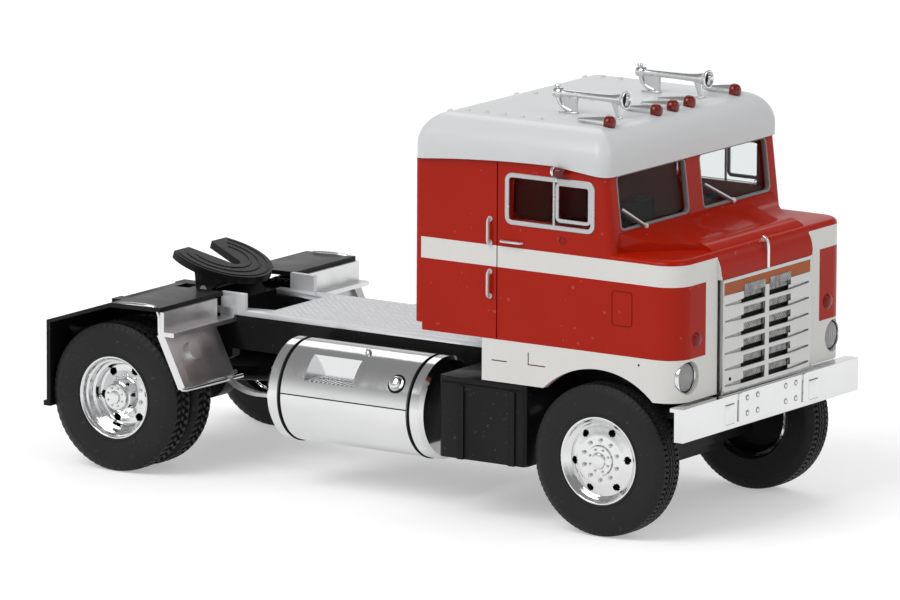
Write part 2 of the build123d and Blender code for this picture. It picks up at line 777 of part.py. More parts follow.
# Glass: two windscreen panes, one pane for each side and two panes in the rear wall
with BuildPart() as screens:
    low, high = window_sill + snug / 2, roof_line_front - snug / 2
    deep = 0.35                  # the panes' faces lie this far behind the wall's face
    with BuildSketch(Plane.XZ.offset(-screen_inner - snug / 2)):
        with BuildLine():
            Polyline(
                (at(screen_x(low, deep)), low),
                (at(screen_x(high, deep)), high),
                (at(screen_x(high, deep + pane)), high),
                (at(screen_x(low, deep + pane)), low),
                close=True,
            )
        make_face()
    extrude(amount=-(screen_outer - screen_inner - snug))
    fillet(screens.edges().filter_by(Axis.X).group_by(Axis.Z)[0], screen_corner)
    mirror(about=Plane.XZ)
write(screens.part, "windscreen_panes")

with BuildPart() as side_glass:
    glass_x = (window_rear + snug / 2, window_front - snug / 2)
    glass_y = (cab_half_width - cab_wall, cab_half_width - cab_wall + pane)
    block(glass_x, glass_y, (window_low + snug / 2, window_high - snug / 2))
    chamfer(side_glass.edges().filter_by(Axis.Y), 0.4)
    mirror(about=Plane.XZ)
write(side_glass.part, "side_windows")

with BuildPart() as rear_glass:
    glass_x = (cab_rear + cab_wall - pane, cab_rear + cab_wall)
    glass_half = (rear_window_width - snug) / 2
    glass_y = (rear_window_y - glass_half, rear_window_y + glass_half)
    block(glass_x, glass_y, (rear_window_low + snug / 2, rear_window_high - snug / 2))
    chamfer(rear_glass.edges().filter_by(Axis.X), 0.5)
    mirror(about=Plane.XZ)
write(rear_glass.part, "rear_windows")

# Bright frames round the side windows, with a divider and a smaller front pane
with BuildPart() as frames:
    PANES = (                    # rear end, front end, sill and head
        (window_rear, divider_x - divider / 2, window_low, window_high),
        (divider_x + divider / 2, window_front, vent_low, vent_high),
    )
    with BuildSketch(Plane.XZ.offset(-cab_half_width)):
        with Locations((window_x, window_z)):
            RectangleRounded(window_length + 2 * frame_border, window_height + 2 * frame_border, 0.6)
        for start, end, bottom, top in PANES:
            with Locations((at((start + end) / 2), (bottom + top) / 2)):
                RectangleRounded(end - start, top - bottom, 0.3, mode=Mode.SUBTRACT)
    extrude(amount=-frame_proud)
    mirror(about=Plane.XZ)
write(frames.part, "side_window_frames")

# Inside: floor, bunk, two seats and the dash in one dark moulding, on four mounts on the rails
seat_y = 5.6
seat_half = 2.3
seat_rear = wheelbase - 9.3
seat_front = wheelbase - 4.3
seat_top = 18.0
backrest_thick = 1.4
backrest_top = 22.6
tub_half = cab_half_width - cab_wall - snug
tub_floor = 13.4
tub_floor_top = tub_floor + 0.7
tub_rear = cab_rear + cab_wall + snug
bunk_front = sill_rear + 0.5
bunk_top = 18.6
tunnel_half = 3.0
tunnel_top = 18.4
dash_rear = wheelbase - 1.5
dash_front = dash_rear + 1.9
dash_top = 21.1
cowl_shelf_top = 23.0            # a narrower block on the dash, close under the windscreen's sill
with BuildPart() as tub:
    block((sill_rear, dash_rear + 0.2), both(tub_half), (tub_floor, tub_floor_top))
    block((tub_rear, bunk_front), both(tub_half), (cab_rear_bottom + 0.1, bunk_top))
    block((sill_rear, bunk_front), both(tub_half), (tub_floor, cab_rear_bottom + 0.5))
    for _, sign in SIDES:
        seat = (sign * (seat_y - seat_half), sign * (seat_y + seat_half))
        mount = (sign * (rail_outer_y - 1.2), sign * (rail_outer_y - 0.1))
        block((seat_rear + 0.8, seat_front), seat, (tub_floor_top, seat_top))
        block((seat_rear, seat_rear + backrest_thick), seat, (tub_floor_top, backrest_top))
        block((sill_rear + 0.6, sill_rear + 2.1), mount, (rail_top, tub_floor + 0.1))
    block((wheelbase - 7.7, dash_rear + 0.2), both(tunnel_half), (tub_floor_top, tunnel_top))
    block((dash_rear, dash_front), both(tub_half), (tub_floor, dash_top))
    cowl_shelf = (dash_rear + 0.4, dash_front - 0.1)
    block(cowl_shelf, both(tub_half - 0.9), (dash_top - 0.1, cowl_shelf_top))
write(tub.part, "cab_interior")

# Steering wheel: a square rim section turned round the column, with three spokes
wheel_tilt = math.radians(35)
wheel_place = Plane(
    origin=(at(wheelbase - 2.5), seat_y, 22.9),
    x_dir=(0, 1, 0),
    z_dir=(-math.sin(wheel_tilt), 0, math.cos(wheel_tilt)),
)
wheel_side = Plane(
    origin=wheel_place.origin,
    x_dir=(0, 1, 0),
    z_dir=(math.cos(wheel_tilt), 0, math.sin(wheel_tilt)),
)
wheel_ring = 1.75
wheel_rim = 0.32
hub_radius = 0.4
spoke_width = 0.22
column = 1.7
with BuildPart() as steering:
    with BuildSketch(wheel_side):
        with Locations((wheel_ring, 0)):
            Rectangle(wheel_rim, wheel_rim)
    revolve(axis=Axis(wheel_place.origin, wheel_place.z_dir))
    with Locations(wheel_place):
        Cylinder(hub_radius, 0.3)
        with PolarLocations(wheel_ring / 2, 3):
            Box(wheel_ring - 0.1, spoke_width, 0.16)
        with Locations((0, 0, -column / 2)):
            Cylinder(spoke_width, column)
write(steering.part, "steering_wheel")

# Grille: a bright plate with two columns of windows, a centre post and wings whose grooves
# run out from the windows to nothing at the outer edge
grille_half = nose_half_width - grille_gap
grille_back = nose_front - grille_thick
row_pitch = (grille_window_top - grille_window_bottom) / grille_rows
groove_end = grille_half - 0.3
groove_tip = 0.05                # half height of a groove at its outer end
strip_half = grille_half - 0.15
strip_seat = nose_front - 0.25
with BuildPart() as grille:
    block((grille_back, nose_front), both(grille_half), (grille_bottom, nose_bottom - 0.03))
    for row in range(grille_rows):
        low = grille_window_bottom + row * row_pitch
        top = low + row_pitch - grille_bar
        for _, sign in SIDES:
            window = (sign * grille_post / 2, sign * grille_half_window)
            block((grille_back - 1, nose_front + 1), window, (low, top), Mode.SUBTRACT)
    with BuildSketch(Plane(origin=(at(nose_front - 0.22), 0, 0), x_dir=(0, 1, 0), z_dir=(1, 0, 0))):
        for row in range(grille_rows):
            low = grille_window_bottom + row * row_pitch
            for _, sign in SIDES:
                with BuildLine():
                    Polyline(
                        (sign * grille_half_window, low),
                        (sign * grille_half_window, low + wing_groove),
                        (sign * groove_end, low + wing_groove / 2 + groove_tip),
                        (sign * groove_end, low + wing_groove / 2 - groove_tip),
                        close=True,
                    )
                make_face()
    extrude(amount=1, mode=Mode.SUBTRACT)
    block((strip_seat, nose_front + 1), both(strip_half), (strip_bottom, strip_top), Mode.SUBTRACT)
write(grille.part, "grille")

with BuildPart() as strip:
    block((strip_seat, nose_front - 0.02), both(strip_half), (strip_bottom, strip_top))
    for _, sign in SIDES:
        window = (sign * grille_post / 2, sign * grille_half_window)
        block((nose_front - 1, nose_front + 1), window, (strip_bottom - 1, grille_window_top), Mode.SUBTRACT)
write(strip.part, "grille_strip")

with BuildPart() as mesh:
    behind = (grille_back - 0.4, grille_back)
    block(behind, both(grille_half_window + 1), (grille_window_bottom, grille_window_top))
write(mesh.part, "radiator_mesh")

# Rib up the middle of the nose
rib_back = at(nose_front - 1.1)
rib_front = at(nose_front + 0.16)
rib_top = (rib_back, nose_top - 0.1)
rib_bend = nose_top - 2.0
rib_half = 0.18
with BuildPart() as trim:
    with BuildSketch(Plane.XZ):
        with BuildLine():
            ThreePointArc(rib_top, (at(nose_front), nose_top - 0.75), (rib_front, rib_bend))
            Polyline((rib_front, rib_bend), (rib_front, nose_bottom), (rib_back, nose_bottom), rib_top)
        make_face()
    extrude(amount=rib_half, both=True)
    add(cab.part, mode=Mode.SUBTRACT)
    add(grille.part, mode=Mode.SUBTRACT)
    block((nose_front - 2, nose_front), both(1), (nose_bottom - 1, nose_bottom + 0.5), Mode.SUBTRACT)
write(trim.part, "nose_trim")

# Bumper: a plate with its edges turned back, and two towing pads with an upright bar each
bumper_face = wheelbase + front_overhang - bumper_pad
bumper_back = bumper_face - bumper_plate
lip = 0.3
tow_bar = (4.45, 4.85)           # across the bumper, from the centre plane
tow_pad = (5.4, 6.7)
pad_bottom = bumper_bottom + 0.4
with BuildPart() as bumper:
    heights = (bumper_bottom, bumper_top)
    block((bumper_back, bumper_face), both(bumper_half_width), heights)
    flange = (bumper_face - bumper_flange, bumper_face)
    block(flange, both(bumper_half_width), (bumper_top - lip, bumper_top))
    turned = (bumper_face - bumper_flange + 0.4, bumper_face)
    block(turned, both(bumper_half_width), (bumper_bottom, bumper_bottom + lip))
    for _, sign in SIDES:
        block(turned, (sign * (bumper_half_width - lip), sign * bumper_half_width), heights)
        bar_y, pad_y = [(sign * inner, sign * outer) for inner, outer in (tow_bar, tow_pad)]
        block((bumper_face, bumper_face + bumper_pad), bar_y, (pad_bottom, bumper_top))
        block((bumper_face, bumper_face + bumper_pad / 2), pad_y, (pad_bottom, bumper_top - 0.7))
    # the rails' front ends stand against the plate's back under the turned edge
    rail_seat = (rail_bottom - snug, rail_top - horn_drop + snug)
    for _, sign in SIDES:
        seat = (sign * (rail_outer_y - rail_flange - snug), sign * (rail_outer_y + snug))
        block((bumper_face - 2, bumper_back), seat, rail_seat, Mode.SUBTRACT)
write(bumper.part, "front_bumper")

# Head lamps in their pockets, and the round signal lamps over them
lens_radius = 1.0
lens_seat = lamp_seat + 0.1
lens_hole = lens_radius + snug / 4
with BuildPart() as bezels:
    for _, sign in SIDES:
        disc_along_x(lamp_pocket - snug / 2, lamp_seat, lamp_face, sign * lamp_y, lamp_z)
        disc_along_x(lens_hole, lens_seat, lamp_face + 1, sign * lamp_y, lamp_z, Mode.SUBTRACT)
write(bezels.part, "headlamp_rims")

with BuildPart() as lenses:
    for _, sign in SIDES:
        disc_along_x(lens_radius, lens_seat, lamp_face, sign * lamp_y, lamp_z)
write(lenses.part, "headlamps")

signal_y = 9.45
signal_z = 15.8
signal_radius = 0.52
signal_depth = 0.22
with BuildPart() as signals:
    for _, sign in SIDES:
        disc_along_x(signal_radius, cab_front, cab_front + signal_depth, sign * signal_y, signal_z)
write(signals.part, "signal_lamps")

# Roof lamps: bright tapering housings with a red lens in front of each
ROOF_LAMPS = (-8.95, -2.37, 0.0, 2.37, 8.95)
lamp_front = wheelbase - 1.3
lamp_tail = 2.9
roof_lamp_z = roof_top + 0.12
roof_lamp_radius = 0.5
housing_sides = 8
dome_length = 0.5
dome_tip = 0.26
with BuildPart() as housings:
    for y in ROOF_LAMPS:
        for back, radius, drop in ((0, roof_lamp_radius, 0), (lamp_tail, 0.14, 0.1)):
            with BuildSketch(Plane.YZ.offset(at(lamp_front - back))):
                with Locations((y, roof_lamp_z - drop)):
                    RegularPolygon(radius, housing_sides, rotation=180 / housing_sides)
        loft()
    add(roof.part, mode=Mode.SUBTRACT)
write(housings.part, "roof_lamp_housings")

with BuildPart() as domes:
    for y in ROOF_LAMPS:
        with Locations((at(lamp_front + dome_length / 2), y, roof_lamp_z)):
            Cone(roof_lamp_radius - 0.04, dome_tip, dome_length, rotation=(0, 90, 0))
    add(roof.part, mode=Mode.SUBTRACT)
write(domes.part, "roof_lamp_lenses")

# Air horns: a trumpet with a flared bell ahead and its driver behind, on two feet
horn_y = 5.87
horn_z = roof_top + 1.5
horn_bell = wheelbase - 1.6
horn_tail = wheelbase - 7.9
bell_radius = 0.8
driver_radius = 0.42
stem_radius = 0.25
foot_half = 0.15
foot_plate = 0.2
feet = ((horn_tail + 0.4, horn_tail + 1.5), (horn_bell - 1.6, horn_bell - 1.0))
HORN = (                         # station and radius from the driver to the bell
    (horn_tail - 0.35, driver_radius),
    (horn_tail + 0.35, driver_radius),
    (horn_tail + 0.35, stem_radius),
    (horn_bell - 1.1, stem_radius),
    (horn_bell, bell_radius),
)
with BuildPart() as horns:
    with BuildSketch(Plane.XY.offset(horn_z)):
        with BuildLine():
            Polyline(
                (at(horn_tail - 0.35), horn_y),
                *[(at(station), horn_y + radius) for station, radius in HORN],
                (at(horn_bell - 0.3), horn_y),
                close=True,
            )
        make_face()
    revolve(axis=Axis((0, horn_y, horn_z), (1, 0, 0)))
    for foot in feet:
        block(foot, (horn_y - foot_half, horn_y + foot_half), (roof_top, horn_z))
        plate_x = (foot[0] - 0.25, foot[1] + 0.25)
        plate_y = (horn_y - 3 * foot_half, horn_y + 3 * foot_half)
        block(plate_x, plate_y, (roof_top, roof_top + foot_plate))
    mirror(about=Plane.XZ)
write(horns.part, "air_horns")

# Side lamps at the roof's edge, each in a bright clip on the window frame's divider
clip_x = divider_x + 0.5
side_lamp_z = 28.2
side_lamp_radius = 0.25
with BuildPart() as clips:
    clip_y = (cab_half_width, cab_half_width + 0.5)
    clip_z = (window_high + frame_border, side_lamp_z - side_lamp_radius - 0.03)
    block((clip_x - 0.3, clip_x + 0.3), clip_y, clip_z)
    mirror(about=Plane.XZ)
write(clips.part, "side_lamp_clips")

with BuildPart() as side_lamps:
    with Locations((at(clip_x), cab_half_width + 0.75, side_lamp_z)):
        Cylinder(side_lamp_radius, 1.2, rotation=(0, 90, 0))
    mirror(about=Plane.XZ)
write(side_lamps.part, "side_lamps")

# Door handles and grab rails
handle_x = (wheelbase - 8.8, wheelbase - 7.0)
handle_z = (21.95, 22.3)
handle_proud = 0.3
with BuildPart() as handles:
    block(handle_x, (cab_half_width, cab_half_width + handle_proud), handle_z)
    mirror(about=Plane.XZ)
write(handles.part, "door_handles")

RAILS = ((21.75, 23.85), (17.6, 19.75))   # foot and head of each rail
grab_x = wheelbase - 9.9
grab_half = 0.12
grab_reach = 0.45
with BuildPart() as grabs:
    ends = (grab_x - grab_half, grab_x + grab_half)
    reach = (cab_half_width, cab_half_width + grab_reach)
    for low, high in RAILS:
        block(ends, reach, (low, low + 0.25))
        block(ends, reach, (high - 0.25, high))
        block(ends, (reach[1] - 0.2, reach[1]), (low, high))
    mirror(about=Plane.XZ)
write(grabs.part, "grab_rails")

# Wipers parked on the panes, both leaning the same way: start of each blade across the cab
wiper_height = 24.75
wiper_length = 3.9
wiper_stand = 0.1                # blade's middle ahead of the screen wall's face
wiper_lean = 25                  # degrees
with BuildPart() as wipers:
    for start in (-10.3, 0.9):
        middle_y = start + wiper_length / 2
        place = (at(screen_x(wiper_height, -wiper_stand)), middle_y, wiper_height)
        with Locations(Location(place, (-wiper_lean, 0, 0))):
            Box(0.16, wiper_length, 0.2)
    add(cab.part, mode=Mode.SUBTRACT)
write(wipers.part, "wipers")


# Wheels: a tyre and a rim turned about each axle, with a ring of hand holes in the rim's disc
hub_step = 0.6
hole_radius = 0.27
hole_sides = 8
hole_count = 6


def turned_piece(section, station):
    """A closed section of (radius, y) points turned round an axle at a station."""
    with BuildPart() as piece:
        with BuildSketch(Plane(origin=(at(station), 0, axle_height), x_dir=(1, 0, 0), z_dir=(0, 0, 1))):
            with BuildLine():
                Polyline(*section, close=True)
            make_face()
        revolve(axis=Axis((at(station), 0, axle_height), (0, 1, 0)))
    return piece.part


def tyre_section(width, bore, outer_face, sign):
    """Bead, side wall and tread of a tyre whose outer side face lies at outer_face."""
    half = [(bore, 0), (tyre_radius - 1.3, 0), (tyre_radius, tyre_shoulder)]
    other = [(radius, width - y) for radius, y in reversed(half)]
    return [(radius, sign * (outer_face - y)) for radius, y in half + other]


def rim_section(bead, outer_face, width, dish, hub, sign):
    """Barrel, lip, dished disc and stepped hub of a wheel, from the pin outwards."""
    barrel = bead - rim_lip
    outline = (
        (pin_radius, width),
        (bead, width),
        (bead, 0),
        (barrel, 0),
        (barrel - 0.15, dish),
        (hub + 0.3, dish),
        (hub, dish - hub_step),
        (pin_radius, dish - hub_step - 0.1),
    )
    return [(radius, sign * (outer_face - depth)) for radius, depth in outline]


def hand_holes(rim, station, reach):
    """A rim with a ring of eight-sided holes through its disc."""
    with BuildPart() as holed:
        add(rim)
        with BuildSketch(Plane(origin=(at(station), 0, axle_height), x_dir=(1, 0, 0), z_dir=(0, -1, 0))):
            with PolarLocations(reach, hole_count):
                RegularPolygon(hole_radius, hole_sides)
        extrude(amount=2 * rear_half_track, both=True, mode=Mode.SUBTRACT)
    return holed.part


# Axle sets: end, name of its tyres, station, outer face of a side's tyres, tyre width, bead radius,
# tyres on a side, rim width, depth of the dish and radius of the hub
AXLES = (
    ("front", "tyre", wheelbase, front_half_track, front_tyre_width, front_rim_radius, 1, 2.2, 0.9, 0.95),
    ("rear", "tyres", 0, rear_half_track, rear_tyre_width, rear_rim_radius, 2, 4.7, 1.9, 1.2),
)
for end, word, station, half_track, tyre_width, bead, twin, rim_width, dish, hub in AXLES:
    for side, sign in SIDES:
        with BuildPart() as tyres:
            for index in range(twin):
                outer_face = half_track - index * (tyre_width + rear_twin_gap)
                add(turned_piece(tyre_section(tyre_width, bead, outer_face, sign), station))
        write(tyres.part, f"{end}_{word}_{side}")
        section = rim_section(bead, half_track - rim_inset, rim_width, dish, hub, sign)
        reach = (hub + 0.3 + bead - rim_lip - 0.15) / 2
        rim = hand_holes(turned_piece(section, station), station, reach)
        write(rim, f"{end}_rim_{side}")
    with BuildPart() as pin:
        pin_end = half_track - rim_inset - dish + 0.6
        bar_along_y(pin_radius, -pin_end, pin_end, station, axle_height)
    write(pin.part, f"{end}_axle_pin")
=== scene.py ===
"""Finishes a 1:87 display model of a cab-over tractor unit: paint, plating, tyres, lamps and trim.

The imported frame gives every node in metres, X forward, Y to the truck's left and Z up, with the
origin on the floor under the middle. New pieces are surfaces over two parameters, worked out as
whole arrays. Their sizes are in millimetres and are scaled once, by MM. Stations along the truck
are measured forward from the rear axle and pass through at().
"""
import json
import math

import bpy
import numpy as np
from bpy.props import FloatProperty, FloatVectorProperty, IntProperty, PointerProperty
from mathutils import Matrix, Vector


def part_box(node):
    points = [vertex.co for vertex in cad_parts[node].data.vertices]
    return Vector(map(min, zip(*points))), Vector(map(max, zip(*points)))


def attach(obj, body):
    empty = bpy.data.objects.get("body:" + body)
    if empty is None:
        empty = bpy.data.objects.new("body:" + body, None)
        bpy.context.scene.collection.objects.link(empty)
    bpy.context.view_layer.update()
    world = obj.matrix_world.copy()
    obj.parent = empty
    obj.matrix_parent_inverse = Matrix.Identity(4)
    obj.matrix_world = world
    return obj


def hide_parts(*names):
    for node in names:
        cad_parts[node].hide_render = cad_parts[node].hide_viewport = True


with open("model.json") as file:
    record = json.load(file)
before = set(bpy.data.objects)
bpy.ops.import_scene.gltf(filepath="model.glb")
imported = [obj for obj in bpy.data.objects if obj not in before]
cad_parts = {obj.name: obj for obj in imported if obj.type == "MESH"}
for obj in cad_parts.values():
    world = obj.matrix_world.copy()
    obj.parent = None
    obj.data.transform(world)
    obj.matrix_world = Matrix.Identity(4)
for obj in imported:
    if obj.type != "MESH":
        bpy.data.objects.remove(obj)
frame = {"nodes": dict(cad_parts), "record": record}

bl_info = {
    "name": "Cab-over tractor unit finish",
    "version": (1, 0, 0),
    "blender": (4, 5, 0),
    "location": "View3D > Sidebar > Tractor",
    "description": "Materials, tyres, lamps and trim for a 1:87 display model of a tractor unit",
    "category": "Object",
}

MM = 0.001
TAU = math.tau
AHEAD, LEFT, UP = (1.0, 0.0, 0.0), (0.0, 1.0, 0.0), (0.0, 0.0, 1.0)
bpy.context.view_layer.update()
NODES = frame["nodes"]
SIDES = (("right", -1.0), ("left", 1.0))
TYRES = {"front": "front_tyre", "rear": "rear_tyres"}
FINISH = {}


def span(node):
    """Lowest and highest corner of a node, in millimetres."""
    low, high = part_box(node)
    return np.array(low) / MM, np.array(high) / MM


def middle(node):
    """Middle of a node's box, in millimetres."""
    low, high = span(node)
    return (low + high) / 2


REAR_AXLE, _, AXLE_HEIGHT = middle("rear_tyres_right")
WHEELBASE = middle("front_tyre_right")[0] - REAR_AXLE
TYRE_RADIUS = (span("front_tyre_right")[1][2] - span("front_tyre_right")[0][2]) / 2
FLANK = span("side_window_frames")[1][1] - 0.12    # distance of the doors from the centre plane


def at(station):
    """The x, in millimetres, of a station measured forward from the rear axle."""
    return REAR_AXLE + station


# Surfaces

def grid_surface(points, close_u=False, start=None, end=None):
    """Vertices and faces of a grid of points, rows along u and closed columns along v.

    Each cell becomes one face, written as four corners, the last two equal in a triangle. A closed
    u joins the last row to the first. A start or end point closes that end with a fan. The faces
    are turned so that the volume they hold is positive.
    """
    rows, cols = points.shape[:2]
    index = np.arange(rows * cols).reshape(rows, cols)
    across = np.roll(index, -1, axis=1)
    down = np.roll(index, -1, axis=0)
    cells = np.stack([index, down, np.roll(down, -1, axis=1), across], axis=-1)
    cells = cells if close_u else cells[:-1]
    faces = [cells.reshape(-1, 4)]
    verts = points.reshape(-1, 3)
    for pole, ring, flip in ((start, index[0], False), (end, index[-1], True)):
        if pole is None:
            continue
        hub = np.full(len(ring), len(verts))
        verts = np.vstack([verts, np.asarray(pole, dtype=float)])
        after = np.roll(ring, -1)
        fan = (hub, after, ring, ring) if flip else (hub, ring, after, after)
        faces.append(np.stack(fan, axis=-1))
    faces = np.vstack(faces)
    a, b, c, d = (verts[faces[:, corner]] for corner in range(4))
    volume = np.einsum("ij,ij->", a, np.cross(b, c)) + np.einsum("ij,ij->", a, np.cross(c, d))
    return verts, faces if volume >= 0 else faces[:, [1, 0, 3, 2]]


def new_mesh(name, surfaces, smooth=True):
    """One mesh of some surfaces, which are in millimetres."""
    counts = np.cumsum([0] + [len(verts) for verts, _ in surfaces])
    verts = np.vstack([verts for verts, _ in surfaces]) * MM
    faces = np.vstack([faces + count for (_, faces), count in zip(surfaces, counts)])
    sizes = np.where(faces[:, 2] == faces[:, 3], 3, 4)
    loops = faces[np.arange(4)[None, :] < sizes[:, None]]
    mesh = bpy.data.meshes.new(name)
    mesh.vertices.add(len(verts))
    mesh.vertices.foreach_set("co", verts.astype(np.float32).ravel())
    mesh.loops.add(len(loops))
    mesh.loops.foreach_set("vertex_index", loops.astype(np.int32))
    mesh.polygons.add(len(sizes))
    starts = np.concatenate([[0], np.cumsum(sizes)[:-1]])
    mesh.polygons.foreach_set("loop_start", starts.astype(np.int32))
    mesh.polygons.foreach_set("use_smooth", np.full(len(sizes), smooth))
    mesh.update(calc_edges=True)
    mesh.validate()
    return mesh


def add_piece(name, surfaces, finish, *nodes, slot=None, body="root", sharp=40.0, painted=None):
    """Makes a piece of some surfaces that rides on a body and takes the place of some nodes.

    finish names a finish, or two where painted gives, for every face in order, which it takes.
    """
    names = (finish,) if isinstance(finish, str) else finish
    mesh = new_mesh(name, surfaces)
    for each in names:
        mesh.materials.append(FINISH[each])
    if painted is not None:
        mesh.polygons.foreach_set("material_index", painted.astype(np.int32))
    mesh.set_sharp_from_angle(angle=math.radians(sharp))
    piece = bpy.data.objects.new(name, mesh)
    bpy.context.scene.collection.objects.link(piece)
    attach(piece, body)
    if nodes:
        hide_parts(*nodes)


def directions(axis):
    """Three square directions: the axis, and two across it."""
    along = np.array(axis, dtype=float)
    along /= np.linalg.norm(along)
    side = np.cross(UP if abs(along[2]) < 0.9 else AHEAD, along)
    side /= np.linalg.norm(side)
    return along, side, np.cross(along, side)


def turned(profile, origin, axis=AHEAD, steps=40, ring=False):
    """A profile of (radius, distance along the axis) turned round the axis.

    A point is origin + distance * axis + radius * (cos t * side + sin t * up), for t once round.
    An end of the profile at no radius is a pole, and any other end is closed flat. A ring's
    profile is a closed section instead.
    """
    profile = np.array(profile, dtype=float)
    along, side, up = directions(axis)
    turn = np.arange(steps) * TAU / steps
    poles = [np.asarray(origin) + profile[row, 1] * along for row in (0, -1)]
    if profile[0, 0] < 1e-6:
        profile = profile[1:]
    if profile[-1, 0] < 1e-6:
        profile = profile[:-1]
    spokes = np.cos(turn)[:, None] * side + np.sin(turn)[:, None] * up
    points = np.asarray(origin) + profile[:, None, 1:] * along + profile[:, None, :1] * spokes
    if ring:
        return grid_surface(points, close_u=True)
    return grid_surface(points, start=poles[0], end=poles[1])


def round_section(width, height, radius=None, corner=3):
    """A rectangle about its middle with round corners, or an ellipse when no radius is given."""
    if radius is None:
        turn = np.arange(16) * TAU / 16
        return np.stack([np.cos(turn) * width / 2, np.sin(turn) * height / 2], axis=-1)
    radius = min(radius, width / 2 - 1e-4, height / 2 - 1e-4)
    turn = np.linspace(0.0, TAU / 4, corner + 1)
    quarters = [turn + quarter * TAU / 4 for quarter in range(4)]
    signs = np.array([(1, 1), (-1, 1), (-1, -1), (1, -1)])
    spots = signs * np.array([width / 2 - radius, height / 2 - radius])
    return np.vstack([
        spot + radius * np.stack([np.cos(q), np.sin(q)], axis=-1) for spot, q in zip(spots, quarters)])


def swept(path, section, facing, closed=False, scale=None, ease=0.0):
    """A section carried along a path.

    A point is path + a * side + b * top, where (a, b) is the section, side lies square to the path
    and to facing, and top is square to both. ease rounds both ends over that length.
    """
    path = np.array(path, dtype=float)
    scale = np.ones(len(path)) if scale is None else np.array(scale, dtype=float)
    if ease:
        first = (path[1] - path[0]) / np.linalg.norm(path[1] - path[0])
        last = (path[-1] - path[-2]) / np.linalg.norm(path[-1] - path[-2])
        path = np.vstack([path[0], path[0] + ease * first, path[1:-1], path[-1] - ease * last, path[-1]])
        scale = np.concatenate([[0.7 * scale[0]], scale[:1], scale[1:-1], scale[-1:], [0.7 * scale[-1]]])
    if closed:
        tangent = np.roll(path, -1, axis=0) - np.roll(path, 1, axis=0)
    else:
        tangent = np.gradient(path, axis=0)
    tangent /= np.linalg.norm(tangent, axis=1)[:, None]
    side = np.cross(tangent, np.array(facing, dtype=float))
    side /= np.linalg.norm(side, axis=1)[:, None]
    top = np.cross(side, tangent)
    a, b = section[:, 0], section[:, 1]
    offsets = a[None, :, None] * side[:, None] + b[None, :, None] * top[:, None]
    points = path[:, None] + scale[:, None, None] * offsets
    if closed:
        return grid_surface(points, close_u=True)
    return grid_surface(points, start=path[0], end=path[-1])


def arc(centre, radius, first, last, steps, plane=(LEFT, UP)):
    """Points of an arc, angles in degrees, in the plane of two square directions."""
    turn = np.radians(np.linspace(first, last, steps))
    u, v = np.array(plane[0]), np.array(plane[1])
    return np.array(centre) + radius * (np.cos(turn)[:, None] * u + np.sin(turn)[:, None] * v)


def upright_line(x, y, low, high, steps):
    """Points up a line, from one height to another."""
    return [(x, y, z) for z in np.linspace(low, high, steps)]


def slab(x, y, top, base):
    """A flat-bottomed block whose top is a height for every x and y.

    Each row is a ring: the heights across y, and back over two corners of the base.
    """
    across = np.concatenate([y, y[-1:], y[:1]])
    heights = np.concatenate([top, np.full_like(top[:, :2], base)], axis=1)
    points = np.stack(np.broadcast_arrays(x[:, None], across[None, :], heights), axis=-1)
    ends = [(x[row], y.mean(), (base + top[row].mean()) / 2) for row in (0, -1)]
    return grid_surface(points, start=ends[0], end=ends[1])


def both_sides(*surfaces):
    """Each surface and its mirror image across the centre plane, all facing outwards."""
    mirror = np.array([1.0, -1.0, 1.0])
    return [
        copy for verts, faces in surfaces
        for copy in ((verts, faces), (verts * mirror, faces[:, [1, 0, 3, 2]]))
    ]


# Materials

class Recipe:
    """Short ways to add nodes to a tree; a value is a number, a colour or a node's output."""

    def __init__(self, tree):
        self.tree = tree

    def feed(self, node, values):
        """Sets a node's sockets, by name or number, or links them."""
        for key, value in values.items():
            socket = node.inputs[key]
            if isinstance(value, bpy.types.NodeSocket):
                self.tree.links.new(value, socket)
            else:
                socket.default_value = (*value[:3], 1.0) if socket.type == "RGBA" else value

    def add(self, kind, values, **settings):
        """The outputs of a new node, with its sockets and some of its settings set."""
        node = self.tree.nodes.new(kind)
        for key, value in settings.items():
            setattr(node, key, value)
        self.feed(node, values)
        return node.outputs

    def place(self):
        """Object coordinates, in metres."""
        return self.add("ShaderNodeTexCoord", {})["Object"]

    def noise(self, scale, detail=3.0):
        """Noise of a given scale over Object coordinates."""
        values = {"Scale": scale, "Detail": detail, "Vector": self.place()}
        return self.add("ShaderNodeTexNoise", values)["Fac"]

    def between(self, value, low, high, start=0.0, end=1.0):
        """A value moved from the range start..end onto low..high."""
        values = {"Value": value, "From Min": start, "From Max": end, "To Min": low, "To Max": high}
        return self.add("ShaderNodeMapRange", values)["Result"]

    def maths(self, operation, total, *values):
        """A Math node's operation on two values, and on its result and each further one."""
        for value in values:
            total = self.add("ShaderNodeMath", {0: total, 1: value}, operation=operation)[0]
        return total

    def mix(self, factor, first, second):
        """A colour that goes from first to second with a factor."""
        return self.add("ShaderNodeMix", {0: factor, 6: first, 7: second}, data_type="RGBA")[2]

    def bump(self, height, distance):
        """A normal for a height of 0..1 over a distance in millimetres."""
        values = {"Strength": 1.0, "Distance": distance * MM, "Height": height}
        return self.add("ShaderNodeBump", values)["Normal"]


class Finish(Recipe):
    """A new material and its Principled shader."""

    def __init__(self, name):
        self.material = bpy.data.materials.new(name)
        self.material.use_nodes = True
        super().__init__(self.material.node_tree)
        self.principled = self.tree.nodes["Principled BSDF"]

    def shaded(self, values):
        """The material, with its shader's sockets set."""
        self.feed(self.principled, values)
        return self.material


